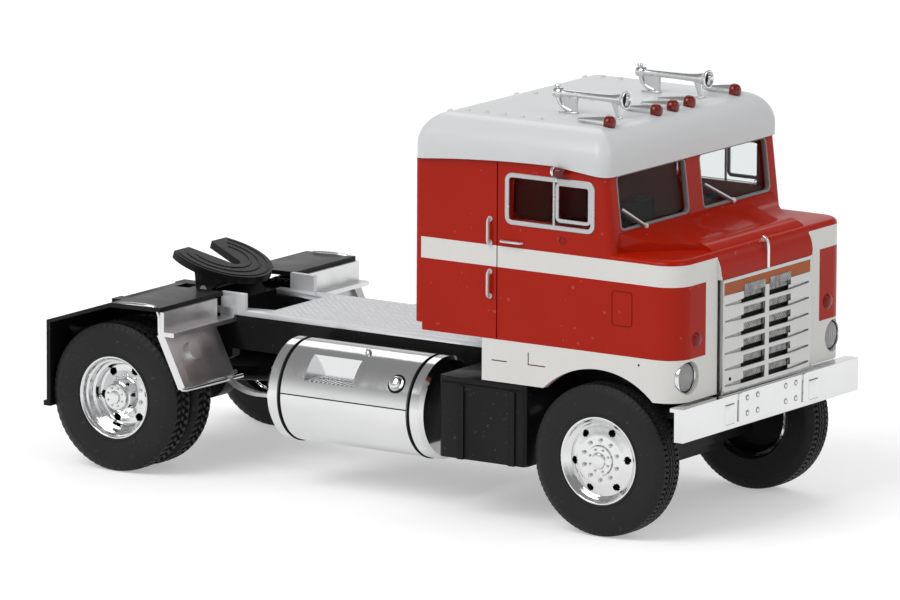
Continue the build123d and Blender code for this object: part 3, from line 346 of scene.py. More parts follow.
def moulded(name, colour, roughness, variation, shine=0.5, coat=0.0, metallic=0.0, dust=0.0):
    """Moulded plastic: colour and gloss vary a little, over a fine grain, with pale dust specks."""
    make = Finish(name)
    dark, light = ([min(1.0, c * scale) for c in colour] for scale in (1 - variation, 1 + variation))
    shade = make.mix(make.noise(160.0), dark, light)
    if dust:
        specks = make.between(make.noise(3200.0, 1.0), 0.0, 1.0, 0.7, 0.76)
        shade = make.mix(make.maths("MULTIPLY", specks, dust), shade, (0.5, 0.5, 0.48))
    return make.shaded({
        "Base Color": shade,
        "Roughness": make.between(make.noise(420.0, 4.0), roughness * 0.8, roughness * 1.25),
        "Metallic": metallic,
        "Coat Weight": coat,
        "Coat Roughness": 0.08,
        "Specular IOR Level": shine,
        "Normal": make.bump(make.noise(3600.0, 2.0), 0.004),
    })


# The print on the cab, in millimetres
STRIPE = (20.05, 21.7)          # heights of the waist stripe
NOSE_EDGE = 6.58                # where it ends beside the nose
UPRIGHT = (6.5, 8.2)            # distances of a front upright's edges from the centre plane
UPRIGHT_HEIGHTS = (5.0, 20.2)
SILL_TOP = 14.4
SILL_MARKS_TOP = 14.3
DOOR = (34.0, 44.3)             # stations between which the engraved lines are painted dark, as shade
HATCH = (44.3, 48.6)            # and those of the hatch ahead of the door, where the painted shade is fainter
HATCH_TOP = 19.6


def cab_paint(paint):
    """Red plastic with the printed white waist stripe, front uprights and sills.

    The bands are worked out from the place on the cab: the stripe by height, the uprights by
    distance from the centre plane on the front wall, and the sills by height. The inner walls
    are the red of unpainted plastic.
    """
    low, high = span("cab_body")
    front = middle("signal_lamps")[0]
    make = Finish("cab_red_and_white")
    x, y, z = make.add("ShaderNodeSeparateXYZ", {0: make.place()})
    side = make.maths("ABSOLUTE", y, 0.0)

    def past(value, limit):
        return make.maths("GREATER_THAN", value, limit * MM)

    def under(value, limit):
        return make.maths("LESS_THAN", value, limit * MM)

    def every(*parts):
        return make.maths("MULTIPLY", *parts)

    def either(*parts):
        return make.maths("MAXIMUM", *parts)

    def within(value, first, last):
        return every(past(value, first), under(value, last))

    # the outer skin: front wall, flanks and the round corners between them
    wall = past(x, front - 0.85)
    corner = every(past(x, front - 2.3), past(side, 10.0))
    skin = either(wall, past(side, high[1] - 0.5), corner)
    stripe = every(within(z, *STRIPE), past(x, low[0] + 0.7), past(side, NOSE_EDGE), skin)
    upright = every(within(side, *UPRIGHT), wall, within(z, *UPRIGHT_HEIGHTS))
    white = either(stripe, upright, every(under(z, SILL_TOP), skin))
    # painted shade darkens the engraved lines of the flanks, and the sill's marks take a red line
    door = within(x, *map(at, DOOR))
    hatch = every(within(x, *map(at, HATCH)), under(z, HATCH_TOP), 0.45)
    engraved = within(side, high[1] - 0.16, high[1] - 0.03)
    groove = every(engraved, make.maths("ADD", door, hatch))
    red = make.mix(make.noise(140.0), paint.red_dark, paint.red_light)
    specks = make.between(make.noise(1900.0, 1.0), 0.0, 0.25, 0.735, 0.77)
    red = make.mix(specks, red, (0.55, 0.2, 0.17))
    plain = make.mix(make.noise(160.0), paint.white_dark, paint.white_light)
    # painted shade: the engraved lines are mixed towards black
    with_groove_shade = make.mix(every(groove, 0.6), make.mix(white, red, plain), (0.03, 0.004, 0.004))
    return make.shaded({
        "Base Color": make.mix(every(groove, under(z, SILL_MARKS_TOP), 0.5), with_groove_shade, (0.25, 0.03, 0.05)),
        "Roughness": make.between(make.noise(500.0, 4.0), 0.26, 0.38),
        "Specular IOR Level": 0.03,
        "Coat Weight": 0.24,
        "Coat Roughness": 0.05,
        "Normal": make.bump(make.noise(700.0, 2.0), 0.006),
    })


def clear_plastic():
    """Thin clear plastic, slightly grey, with faint ripples from the mould."""
    make = Finish("clear_plastic_panes")
    return make.shaded({
        "Base Color": make.mix(make.noise(90.0), (0.80, 0.83, 0.83), (0.88, 0.90, 0.90)),
        "Roughness": make.between(make.noise(300.0), 0.0, 0.03),
        "Transmission Weight": 1.0,
        "IOR": 1.12,
        "Normal": make.bump(make.noise(180.0, 1.0), 0.004),
    })


def lamp_plastic(name, dark, light, weight, coat):
    """Coloured plastic of a lamp: its tone varies at random between a dark and a light one, with a glossy
    skin.
    """
    make = Finish(name)
    return make.shaded({
        "Base Color": make.mix(make.noise(900.0), dark, light),
        "Roughness": make.between(make.noise(700.0), 0.06, 0.16),
        "Transmission Weight": weight,
        "Specular IOR Level": 0.15,
        "Coat Weight": coat,
        "Coat Roughness": 0.04,
        "Normal": make.bump(make.noise(1200.0, 1.0), 0.006),
    })


def plated(name, colour, roughness, waves=0.02, wave_scale=420.0):
    """Vacuum plating: a bright metal skin that follows the slight waves of the moulding."""
    make = Finish(name)
    return make.shaded({
        "Base Color": make.mix(make.noise(260.0), [c * 0.9 for c in colour], colour),
        "Roughness": make.between(make.noise(700.0, 5.0), roughness * 0.7, roughness * 1.4),
        "Metallic": 1.0,
        "Normal": make.bump(make.noise(wave_scale, 2.0), waves),
    })


def woven_mesh():
    """Dark metal cloth behind the grille: two crossed sets of wires by place on the front."""
    make = Finish("radiator_cloth")
    wires = []
    for turn in (0.785, -0.785):
        place = make.add("ShaderNodeMapping", {"Rotation": (turn, 0.0, 0.0), "Vector": make.place()})[0]
        values = {"Scale": 1500.0, "Vector": place}
        wave = make.add("ShaderNodeTexWave", values, wave_type="BANDS", bands_direction="Y")
        wires.append(wave["Fac"])
    worn = make.between(make.noise(1700.0, 4.0), 0.2, 1.3, 0.3, 0.7)
    cloth = make.maths("MULTIPLY", make.maths("MAXIMUM", *wires), worn)
    return make.shaded({
        "Base Color": make.mix(cloth, (0.055, 0.055, 0.056), (0.50, 0.50, 0.50)),
        "Metallic": 0.25,
        "Roughness": make.between(make.noise(800.0), 0.35, 0.5),
        "Normal": make.bump(cloth, 0.04),
    })


def make_finishes(paint):
    """Makes a finish for each slot of the record, and more for small trim."""
    FINISH.update({
        "red_paint": cab_paint(paint),
        "white_paint": moulded("roof_white", paint.roof, 0.3, 0.02, 0.3, 0.2),
        "clear_plastic": clear_plastic(),
        "dark_mesh": woven_mesh(),
    })
    tables = {
        # colour, roughness, variation, shine, coat, metallic, dust
        moulded: {
            "chassis_black": (paint.chassis, 0.42, 0.25, 0.1, 0.12, 0.0, 0.08),
            "interior_black": (paint.interior, 0.5, 0.25, 0.1),
            "deck_silver": ((0.66, 0.67, 0.69), 0.32, 0.05, 0.5, 0.0, 0.5),
            "printed_silver": ((0.62, 0.625, 0.63), 0.3, 0.05, 0.5, 0.0, 0.45),
            "frame_silver": ((0.47, 0.475, 0.48), 0.26, 0.15, 0.5, 0.0, 0.6),
            "orange_print": (paint.orange, 0.35, 0.15, 0.15, 0.1),
            "tyre_rubber": (paint.rubber, 0.5, 0.2, 0.2, 0.0, 0.0, 0.05),
            "dark_line": ((0.008, 0.008, 0.009), 0.5, 0.2, 0.1),
            "dark_wash": ((0.10, 0.10, 0.105), 0.5, 0.3, 0.2),
            "seal_grey": ((0.23, 0.22, 0.225), 0.4, 0.15, 0.3),
        },
        # colour, roughness, depth and scale of the waves
        plated: {
            "bright_plating": (paint.plating, 0.12),
            "wheel_plating": (paint.plating, 0.12, 0.025, 1500.0),
            # painted shade: the grille's plating is darker than the rest, standing for the shade among its
            # bars
            "grille_plating": ((0.50, 0.505, 0.495), 0.2, 0.05, 900.0),
            "fender_plating": (paint.plating, 0.36, 0.06, 700.0),
            "steel_pin": ((0.50, 0.50, 0.51), 0.3),
        },
        # dark and light tone, how clear it is, coat
        lamp_plastic: {
            "lamp_clear": ((0.22, 0.225, 0.22), (0.36, 0.365, 0.355), 0.05, 0.5),
            "lamp_red": ((0.09, 0.002, 0.001), (0.26, 0.010, 0.002), 0.1, 0.5),
            "signal_red": ((0.19, 0.006, 0.004), (0.25, 0.010, 0.006), 0.0, 0.15),
            "side_lamp_red": ((0.11, 0.012, 0.02), (0.16, 0.018, 0.03), 0.0, 0.3),
        },
    }
    for make, table in tables.items():
        FINISH.update({name: make(name, *values) for name, values in table.items()})


# Settings that a user would change

def colour_setting(name, description, *default):
    """A colour with its words and its default."""
    return FloatVectorProperty(name=name, description=description, subtype="COLOR", default=default)


def size_setting(name, description, default, unit="LENGTH"):
    """A size, or a power, with its words and its default."""
    return FloatProperty(name=name, description=description, default=default, unit=unit)


class TractorPaint(bpy.types.PropertyGroup):
    """Colours of the paint and the mouldings."""

    red_dark: colour_setting("Red, deep", "Darker tone of the cab's red", 0.354, 0.0085, 0.0008)
    red_light: colour_setting("Red, bright", "Lighter tone of the cab's red", 0.404, 0.0125, 0.0012)
    white_dark: colour_setting("White, deep", "Darker tone of the white print", 0.69, 0.685, 0.66)
    white_light: colour_setting("White, bright", "Lighter tone of the white print", 0.75, 0.745, 0.72)
    roof: colour_setting("Roof", "White of the roof moulding", 0.625, 0.638, 0.645)
    chassis: colour_setting("Chassis", "Black of the chassis mouldings", 0.0065, 0.0065, 0.007)
    interior: colour_setting("Interior", "Black brown of the inner moulding", 0.012, 0.008, 0.008)
    plating: colour_setting("Plating", "Tone of the bright plating", 0.74, 0.745, 0.75)
    rubber: colour_setting("Tyres", "Black of the tyres", 0.014, 0.014, 0.0145)
    orange: colour_setting("Grille strip", "Orange of the strip over the grille", 0.36, 0.080, 0.008)


class TractorTrim(bpy.types.PropertyGroup):
    """Sizes of the small trim, in metres where they have a length."""

    front_lugs: IntProperty(name="Front lugs", description="Tread blocks round a front tyre", default=84)
    rear_lugs: IntProperty(name="Rear lugs", description="Tread blocks round a rear tyre", default=60)
    tread_depth: size_setting("Tread depth", "Depth of the tread's grooves", 0.2 * MM)
    rivet_pitch: size_setting("Rivet pitch", "Distance from rivet to rivet", 1.75 * MM)
    tread_plate_pitch: size_setting("Deck pattern", "Size of the deck's raised lozenges", 0.62 * MM)


class TractorStage(bpy.types.PropertyGroup):
    """Sizes of the floor and the strength of the light."""

    floor_radius: size_setting("Floor radius", "Radius of the round floor", 6.0)
    key_power: size_setting("Key lamp", "Power of the lamp on the camera's left", 8.0, "POWER")
    fill_power: size_setting("Fill lamps", "Power of the lamps ahead and behind", 2.0, "POWER")
    sky: size_setting("Surroundings", "Strength of the even light from all round", 0.55, "NONE")
    floor_lift: size_setting("Floor lift", "How much whiter the floor looks than it lights", 0.38, "NONE")


class TRACTOR_OT_stage(bpy.types.Operator):
    """Camera, floor, soft lamps and a white surround"""

    bl_idname = "tractor.stage"
    bl_label = "Stage"

    def execute(self, context):
        settings = context.scene.tractor_stage
        self.make_camera(context)
        self.make_floor(context, settings)
        self.make_lamps(context, settings)
        self.make_surround(context, settings.sky)
        context.scene.view_settings.view_transform = "Standard"
        return {"FINISHED"}

    def make_camera(self, context):
        """A long lens over the truck's right front, fitted to the photograph."""
        camera = bpy.data.objects.new("camera", bpy.data.cameras.new("camera"))
        camera.data.lens = 399.42
        camera.data.sensor_width = 36.0
        camera.data.clip_start = 0.05
        camera.data.clip_end = 20.0
        right = (0.83120181, 0.55595204, 0.00456949)
        up = (-0.10845981, 0.15408587, 0.98208656)
        back = (0.54528893, -0.81680773, 0.18837491)
        turn = Matrix((right, up, back)).transposed().to_4x4()
        camera.matrix_world = Matrix.Translation(Vector((426.124, -638.578, 161.447)) * MM) @ turn
        context.scene.collection.objects.link(camera)
        context.scene.camera = camera

    def make_floor(self, context, settings):
        """A flat round slab: rings that widen from the middle on top, and the same rings below.

        It glows a little where it is seen, mirrored or looked at through glass.
        """
        rings = np.array([0.02, 0.1, 0.3, 0.6, 1.0]) * settings.floor_radius / MM
        thick = 2.0
        profile = [(ring, 0.0) for ring in rings] + [(ring, -thick) for ring in rings[::-1]]
        mesh = new_mesh("floor", [turned(profile, (0.0, 0.0, 0.0), UP, steps=96)], smooth=False)
        floor = bpy.data.objects.new("floor", mesh)
        context.scene.collection.objects.link(floor)
        make = Finish("pale_floor")
        tone = make.mix(make.noise(3.0), (0.73, 0.73, 0.73), (0.75, 0.75, 0.75))
        make.shaded({"Base Color": tone, "Roughness": 0.9, "Specular IOR Level": 0.1})
        rays = make.add("ShaderNodeLightPath", {})
        seen = [rays[kind] for kind in ("Is Camera Ray", "Is Glossy Ray", "Is Transmission Ray")]
        strength = make.maths("MULTIPLY", make.maths("MAXIMUM", *seen), settings.floor_lift)
        glow = make.add("ShaderNodeEmission", {"Color": (1.0, 1.0, 1.0), "Strength": strength})[0]
        joined = make.add("ShaderNodeAddShader", {0: make.principled.outputs[0], 1: glow})[0]
        make.feed(make.tree.nodes["Material Output"], {"Surface": joined})
        mesh.materials.append(make.material)

    def make_lamps(self, context, settings):
        """Square area lamps that face the model: name, place, side and power of each."""
        lamps = (
            ("key_lamp", (-0.25, -0.85, 0.95), 0.8, settings.key_power),
            ("fill_lamp", (0.95, 0.1, 0.8), 0.6, settings.fill_power),
            ("back_lamp", (-0.5, 0.8, 0.9), 0.7, settings.fill_power),
        )
        for name, spot, size, power in lamps:
            data = bpy.data.lights.new(name, "AREA")
            data.size = size
            data.energy = power
            lamp = bpy.data.objects.new(name, data)
            lamp.location = spot
            lamp.rotation_euler = (-Vector(spot)).to_track_quat("-Z", "Y").to_euler()
            context.scene.collection.objects.link(lamp)

    def make_surround(self, context, strength):
        """An even world: plain light on the model, and white round it that greys overhead.

        What the plating mirrors falls from white at the horizon to a grey ceiling.
        """
        world = bpy.data.worlds.new("surround")
        context.scene.world = world
        world.use_nodes = True
        make = Recipe(world.node_tree)
        way = make.add("ShaderNodeTexCoord", {})["Generated"]
        height = make.add("ShaderNodeSeparateXYZ", {0: way})[2]
        ceiling = make.between(height, 1.0, 0.3, 0.06, 0.5)
        rays = make.add("ShaderNodeLightPath", {})
        plain = make.maths("MAXIMUM", rays["Is Camera Ray"], rays["Is Transmission Ray"])
        seen = make.between(plain, strength, 1.0)
        gap = make.maths("SUBTRACT", ceiling, seen)
        mirrored = make.maths("MULTIPLY", gap, rays["Is Glossy Ray"])
        values = {"Color": (1.0, 1.0, 1.0), "Strength": make.maths("ADD", seen, mirrored)}
        make.feed(world.node_tree.nodes["Background"], values)


# Finishes of the frame's own nodes

MERGE = 0.002 * MM      # how close the loose triangles' corners lie
BEVELLED = (
    "front_bumper", "grille", "battery_boxes", "cab_interior", "deck_plate", "door_handles",
    "engine_block", "cross_members", "side_window_frames",
)
# Nodes whose finish isn't the one of their slot
OWN_FINISH = {
    "signal_lamps": "signal_red", "grille": "grille_plating",
    "quarter_fender_left": "fender_plating", "quarter_fender_right": "fender_plating",
}


def soften_group():
    """Geometry nodes that merge a node's loose triangles and shade it smooth up to a sharp edge."""
    group = bpy.data.node_groups.new("soften", "GeometryNodeTree")
    for way in ("INPUT", "OUTPUT"):
        group.interface.new_socket("Geometry", in_out=way, socket_type="NodeSocketGeometry")
    make = Recipe(group)
    mesh = make.add("NodeGroupInput", {})[0]
    mesh = make.add("GeometryNodeMergeByDistance", {"Geometry": mesh, "Distance": MERGE})["Geometry"]
    mesh = make.add("GeometryNodeSetShadeSmooth", {"Geometry": mesh}, domain="FACE")["Geometry"]
    angle = make.add("GeometryNodeInputMeshEdgeAngle", {})["Unsigned Angle"]
    steep = make.maths("GREATER_THAN", angle, math.radians(32))
    values = {"Geometry": mesh, "Selection": steep, "Shade Smooth": False}
    mesh = make.add("GeometryNodeSetShadeSmooth", values, domain="EDGE")["Geometry"]
    make.feed(group.nodes.new("NodeGroupOutput"), {0: mesh})
    return group


class TRACTOR_OT_mouldings(bpy.types.Operator):
    """Finishes of the frame's own nodes, with soft edges on the square ones"""

    bl_idname = "tractor.mouldings"
    bl_label = "Mouldings"

    def execute(self, context):
        make_finishes(context.scene.tractor_paint)
        soften = soften_group()
        for part in frame["record"]["subparts"]:
            node = NODES[part["node"]]
            node.data.materials.clear()
            node.data.materials.append(FINISH[OWN_FINISH.get(part["node"], part["material_slot"])])
            if part["node"] in BEVELLED:
                weld = node.modifiers.new("weld", "WELD")
                weld.merge_threshold = MERGE
                bevel = node.modifiers.new("edge", "BEVEL")
                bevel.width = 0.04 * MM
                bevel.segments = 2
                bevel.limit_method = "ANGLE"
                bevel.angle_limit = math.radians(40)
            node.modifiers.new("soften", "NODES").node_group = soften
        return {"FINISHED"}


# Tyres and rims

def tyre_face(end, side):
    """Distance of the outer tyre's outer face from the centre plane."""
    low, high = span(f"{TYRES[end]}_{side}")
    return max(abs(low[1]), abs(high[1]))


def lug_pattern(across, around, lugs, rear):
    """1 on a tread block and 0 in a groove, for places across (-1..1) and round (0..1) the tread.

    A rear tyre has slanted blocks on each shoulder, half a pitch apart, and a broken middle rib.
    A front tyre has three ribs between zigzag grooves, cut by fine slots.
    """
    phase = (around * lugs)[None, :]
    t = across[:, None]
    if rear:
        shifted = phase + 0.5 * (t > 0) + 0.5 * np.abs(t)
        shoulder = (np.mod(shifted, 1.0) < 0.6) & (np.abs(t) > 0.36)
        rib = (np.mod(phase + 0.25 + 0.8 * t, 1.0) < 0.66) & (np.abs(t) < 0.26)
        return (shoulder | rib | ((np.abs(t) > 0.93) & (phase >= 0.0))).astype(float)
    zigzag = 0.05 * np.sin(TAU * phase)
    grooves = (np.abs(np.abs(t) - 0.36 + zigzag) < 0.055) | (np.abs(t + zigzag) < 0.045)
    slots = (np.mod(phase + 0.3 * t, 1.0) < 0.28) & (np.abs(t) > 0.52) & (np.abs(t) < 0.93)
    return (~(grooves | slots)).astype(float)


def tyre_surface(face, width, bore, sign, lugs, depth, station, rear):
    """A tyre as rings of a closed section turned round the axle.

    The section runs from the outer bead up the side wall, over the tread and down the other side
    wall to the inner bead, and back along the bore. The tread's radius is lowered by the groove
    depth where the block pattern is 0, and the shoulders below it by less.
    """
    radius = TYRE_RADIUS
    wall = np.array([
        (bore, 0.10), (bore + 0.06, 0.0), (bore + 0.16, 0.0), (bore + 0.22, 0.07), (bore + 0.5, 0.05),
        (bore + 0.9, 0.01), (radius - 1.1, 0.0), (radius - 0.95, 0.03), (radius - 0.9, 0.02),
        (radius - 0.72, 0.05), (radius - 0.45, 0.14), (radius - 0.2, 0.26), (radius - 0.06, 0.36),
    ])
    rows, steps = (31, 8 * lugs) if rear else (37, 6 * lugs)    # across the tread and round it
    tread = np.linspace(-1.0, 1.0, rows)
    shoulder = 0.42
    tread_y = shoulder + (tread + 1.0) / 2.0 * (width - 2.0 * shoulder)
    crown = radius - 0.05 * np.abs(tread) ** 3
    far = wall[::-1] * np.array([1.0, -1.0]) + np.array([0.0, width])
    section = np.vstack([wall, np.stack([crown, tread_y], axis=-1), far])
    around = np.arange(steps) / steps
    radii = np.repeat(section[:, :1], steps, axis=1)
    start = len(wall)
    radii[start: start + rows] -= depth * (1.0 - lug_pattern(tread, around, lugs, rear))
    lowered = 0.3 * depth * (1.0 - lug_pattern(np.array([-0.8, 0.8]), around, lugs, rear))
    for row in (start - 1, start - 2):
        radii[row] -= lowered[0]
        radii[2 * start + rows - 1 - row] -= lowered[1]
    turn = around * TAU
    points = np.stack(np.broadcast_arrays(
        at(station) + radii * np.cos(turn),
        sign * (face - section[:, 1:]),
        AXLE_HEIGHT + radii * np.sin(turn),
    ), axis=-1)
    return grid_surface(points, close_u=True)


class TRACTOR_OT_tyres(bpy.types.Operator):
    """Tyres with their tread: two at the front, four in twin pairs at the rear"""

    bl_idname = "tractor.tyres"
    bl_label = "Tyres"

    def execute(self, context):
        trim = context.scene.tractor_trim
        depth = trim.tread_depth / MM
        front_bore, rear_bore = 3.42, 3.27
        rear_depth, rear_width, twin_pitch = 1.25 * depth, 2.5, 2.9
        for side, sign in SIDES:
            low, high = span(f"front_tyre_{side}")
            front = tyre_surface(tyre_face("front", side), high[1] - low[1], front_bore, sign,
                                 trim.front_lugs, depth, WHEELBASE, False)
            twins = [
                tyre_surface(tyre_face("rear", side) - shift, rear_width, rear_bore, sign,
                             trim.rear_lugs, rear_depth, 0.0, True)
                for shift in (0.0, twin_pitch)
            ]
            add_piece(f"front_tread_{side}", [front], "tyre_rubber", f"front_tyre_{side}",
                      body="front_axle", sharp=25)
            add_piece(f"rear_treads_{side}", twins, "tyre_rubber", f"rear_tyres_{side}",
                      body="rear_axle", sharp=25)
        return {"FINISHED"}


# Rims: (radius, depth behind the tyre's outer face), from the back over the lip to the hub
FRONT_RIM = (
    (0.0, 1.35), (1.5, 1.35), (2.6, 1.35), (2.9, 1.6), (3.05, 2.4), (3.3, 2.5), (3.42, 2.35),
    (3.44, 0.50), (3.50, 0.30), (3.47, 0.19), (3.40, 0.13), (3.30, 0.13), (3.22, 0.20), (3.14, 0.36),
    (3.04, 0.46), (2.96, 0.50), (2.90, 0.60), (2.80, 0.66), (2.70, 0.64), (2.60, 0.60), (2.50, 0.58),
    (2.42, 0.56), (2.34, 0.54), (2.26, 0.52), (2.18, 0.50), (2.10, 0.47), (1.96, 0.44), (1.86, 0.42),
    (1.74, 0.42), (1.30, 0.42), (1.20, 0.40), (1.16, 0.30), (1.12, 0.22), (0.66, 0.20), (0.60, 0.14),
    (0.58, 0.06), (0.50, 0.02), (0.30, 0.0), (0.0, 0.0),
)
REAR_RIM = (
    (0.0, 3.9), (1.5, 3.9), (2.4, 3.9), (2.7, 4.1), (2.9, 4.9), (3.1, 5.0), (3.24, 4.85), (3.28, 0.50),
    (3.36, 0.30), (3.34, 0.19), (3.27, 0.13), (3.18, 0.13), (3.10, 0.20), (3.03, 0.36), (2.98, 0.60),
    (2.90, 0.66), (2.84, 0.70), (2.80, 1.00), (2.76, 1.20), (2.66, 1.26), (2.58, 1.30), (2.54, 1.60),
    (2.46, 1.80), (2.38, 1.86), (2.30, 1.88), (2.22, 1.88), (2.14, 1.87), (2.06, 1.86), (1.98, 1.85),
    (1.90, 1.84), (1.82, 1.82), (1.70, 1.78), (1.40, 1.74), (1.30, 1.66), (1.25, 1.10), (1.21, 0.72),
    (1.10, 0.64), (1.06, 0.50), (1.00, 0.36), (0.92, 0.32), (0.54, 0.30), (0.50, 0.22), (0.46, 0.14),
    (0.36, 0.10), (0.20, 0.09), (0.0, 0.09),
)
# For each end: profile, station, and the hand holes' distance from the axle and half width
RIMS = {"front": (FRONT_RIM, WHEELBASE, 2.40, 0.22), "rear": (REAR_RIM, 0.0, 2.12, 0.26)}
# Rings of nuts: distance from the axle, depth behind the tyre's face, count and size
NUTS = {
    "front": ((1.56, 0.42, 10, 0.17), (0.88, 0.22, 8, 0.12)),
    "rear": ((1.56, 1.76, 10, 0.17), (0.74, 0.31, 8, 0.10)),
}
NUT = np.array([(1.0, 0.0), (1.0, 0.9), (0.75, 1.2), (0.5, 1.25), (0.4, 1.8), (0.0, 1.9)])
# Hand holes: turn of the first, depth, and length as a share of the width
HOLE_PHASE, HOLE_DEPTH, HOLE_RATIO = math.radians(6), 0.75, 1.25
SHADED_DISH_ROWS = 3    # rows of a rim's points painted dark as the shade at the bottom of its dish


def rim_surface(profile, face, sign, station, hole_ring, hole_size, steps=240):
    """A rim turned round the axle, with six hand holes sunk into its disc.

    A point's depth is the profile's depth plus the hole's depth wherever it lies closer than the
    hole's size to one of six places round the disc. The second value marks the faces painted dark
    as painted shade: those in the holes, and the bottom of the dish at the back.
    """
    profile = np.array(profile)
    turn = np.arange(steps) * TAU / steps
    ring = profile[1:-1]
    front = np.arange(len(ring)) > np.argmax(ring[:, 0])
    sixth = (np.mod((turn - HOLE_PHASE) / TAU * 6.0 + 0.5, 1.0) - 0.5) * TAU / 6.0
    along = (ring[:, :1] * sixth[None, :]) / (hole_size * HOLE_RATIO)
    out = (ring[:, :1] - hole_ring) / hole_size
    sunk = ((along ** 2 + out ** 2) < 1.0) & front[:, None]
    points = np.stack([
        at(station) + ring[:, :1] * np.cos(turn),
        sign * (face - (ring[:, 1:] + HOLE_DEPTH * sunk)),
        AXLE_HEIGHT + ring[:, :1] * np.sin(turn),
    ], axis=-1)
    poles = [(at(station), sign * (face - profile[row, 1]), AXLE_HEIGHT) for row in (0, -1)]
    verts, faces = grid_surface(points, start=poles[0], end=poles[1])
    # painted shade: the bottom of the dish, like the hand holes, takes the dark finish
    sunk[:SHADED_DISH_ROWS] = True
    marks = np.append(sunk.ravel(), [True, False])
    return (verts, faces), marks[faces].any(axis=1)


class TRACTOR_OT_rims(bpy.types.Operator):
    """Plated rims with lips, dishes, hand holes, hubs and nuts"""

    bl_idname = "tractor.rims"
    bl_label = "Rims"

    def execute(self, context):
        for end, (profile, station, *hole) in RIMS.items():
            for side, sign in SIDES:
                face = tyre_face(end, side)
                rim, holes = rim_surface(profile, face, sign, station, *hole)
                nuts = [
                    turned(NUT * size, (at(station) + ring * math.cos(turn), sign * (face - depth - 0.02),
                                        AXLE_HEIGHT + ring * math.sin(turn)), (0.0, sign, 0.0), 6)
                    for ring, depth, count, size in NUTS[end]
                    for turn in (np.arange(count) + 0.5) * TAU / count
                ]
                # the dark_line finish paints the shade in the hand holes and the dish
                painted = np.concatenate([holes, np.zeros(sum(len(faces) for _, faces in nuts))])
                add_piece(f"{end}_wheel_disc_{side}", [rim, *nuts], ("wheel_plating", "dark_line"),
                          f"{end}_rim_{side}", body=f"{end}_axle", sharp=35, painted=painted)
        return {"FINISHED"}


# Front: cloth pads behind the grille, rib, bumper fittings

class TRACTOR_OT_grille(bpy.types.Operator):
    """Twelve pads of metal cloth in the grille's windows, over a black plate of painted shade"""

    bl_idname = "tractor.grille"
    bl_label = "Grille cloth"

    def execute(self, context):
        low, high = span("radiator_mesh")
        grille_low, grille_high = span("grille")
        rows, bar, overlap, share = 6, 0.34, 0.10, 0.68
        inner, outer, plate_width = 0.28, 3.4, 13.0
        pitch = (high[2] - low[2]) / rows
        # black plate close behind the windows, as wide as the gaps beside the grille: painted shade below
        # the pads and in the gaps
        path = upright_line((low[0] + high[0]) / 2, 0.0, grille_low[2] + 0.05, grille_high[2] - 0.05, 5)
        plate = swept(path, round_section(plate_width, high[0] - low[0], 0.05, 4), AHEAD)
        add_piece("grille_shade_plate", [plate], "dark_line", slot="interior_black")
        height = share * (pitch - bar)
        width = outer - inner - overlap
        tops = low[2] + (np.arange(rows) + 1) * pitch - bar
        # for each row: x, lower and upper edge, thickness and corner of its pads
        pads = [(high[0] + overlap, top - height, top + 0.02, 0.3, 0.08) for top in tops]
        # the top pads reach up in front of the strip's foot
        pads.append((grille_high[0] - 0.02, high[2] - bar - 0.15, high[2] + 0.16, 0.12, 0.04))
        cloth = [
            swept(upright_line(x, sign * (inner + outer) / 2, foot, top, 4),
                  round_section(width, thick, corner, 4), AHEAD)
            for x, foot, top, thick, corner in pads for _, sign in SIDES
        ]
        add_piece("grille_cloth", cloth, "dark_mesh", "radiator_mesh")
        # small bolt on the near wing
        bolt = [(0.14, -0.05), (0.14, 0.03), (0.08, 0.06)]
        add_piece("grille_bolt", [turned(bolt, (grille_high[0], -5.3, 12.1), steps=12)], "dark_line")
        return {"FINISHED"}


class TRACTOR_OT_nose_rib(bpy.types.Operator):
    """Bright rib that follows the middle of the nose down to the strip"""

    bl_idname = "tractor.nose_rib"
    bl_label = "Nose rib"

    def execute(self, context):
        base = span("nose_trim")[0][2]
        front = span("grille")[1][0] - 0.33
        # height over the rib's foot, place ahead of it, and width there
        course = np.array([
            (0.02, 0.0, 1.0), (0.7, 0.0, 1.0), (1.3, 0.0, 1.0), (1.7, -0.02, 1.0), (1.95, -0.06, 0.97),
            (2.12, -0.14, 0.85), (2.22, -0.26, 0.6),
        ])
        path = np.stack([front + course[:, 1], np.zeros(len(course)), base + course[:, 0]], axis=-1)
        fin = swept(path, round_section(0.96, 0.28, 0.12, 4), LEFT, scale=course[:, 2])
        add_piece("nose_rib", [fin], "bright_plating", "nose_trim")
        return {"FINISHED"}


class TRACTOR_OT_bumper(bpy.types.Operator):
    """Bolts on the bumper's face, with grey painted shade round them and along the towing pads' edges"""

    bl_idname = "tractor.bumper"
    bl_label = "Bumper fittings"

    def execute(self, context):
        low, high = span("front_bumper")
        face = high[0] - 0.12
        bolt = [(0.17, -0.05), (0.17, 0.02), (0.12, 0.06), (0.0, 0.08)]
        ring = [(0.17, -0.02), (0.235, -0.02), (0.235, 0.012), (0.17, 0.012)]
        spots = [(face, y, low[2] + z) for y in (2.03, 3.5) for z in (0.87, 2.08)]
        add_piece("bumper_bolts", both_sides(*(turned(bolt, spot, steps=8) for spot in spots)),
                  "bright_plating")
        # painted shade: grey rings round each bolt and grey lines along the edges of the towing pads
        rings = [turned(ring, spot, steps=16) for spot in spots]
        paths = [upright_line(face, y, low[2] + 0.4, high[2] - 0.5, 4) for y in (4.40, 4.90)]
        for z in (low[2] + 0.42, high[2] - 0.66):
            paths.append([(face + 0.03, y, z) for y in np.linspace(5.45, 6.65, 4)])
        lines = [swept(path, round_section(0.07, 0.05, 0.02, 2), AHEAD) for path in paths]
        add_piece("bumper_shade_lines", both_sides(*rings, *lines), "seal_grey")
        return {"FINISHED"}


# Glazing: seals round the panes, wipers, side frames

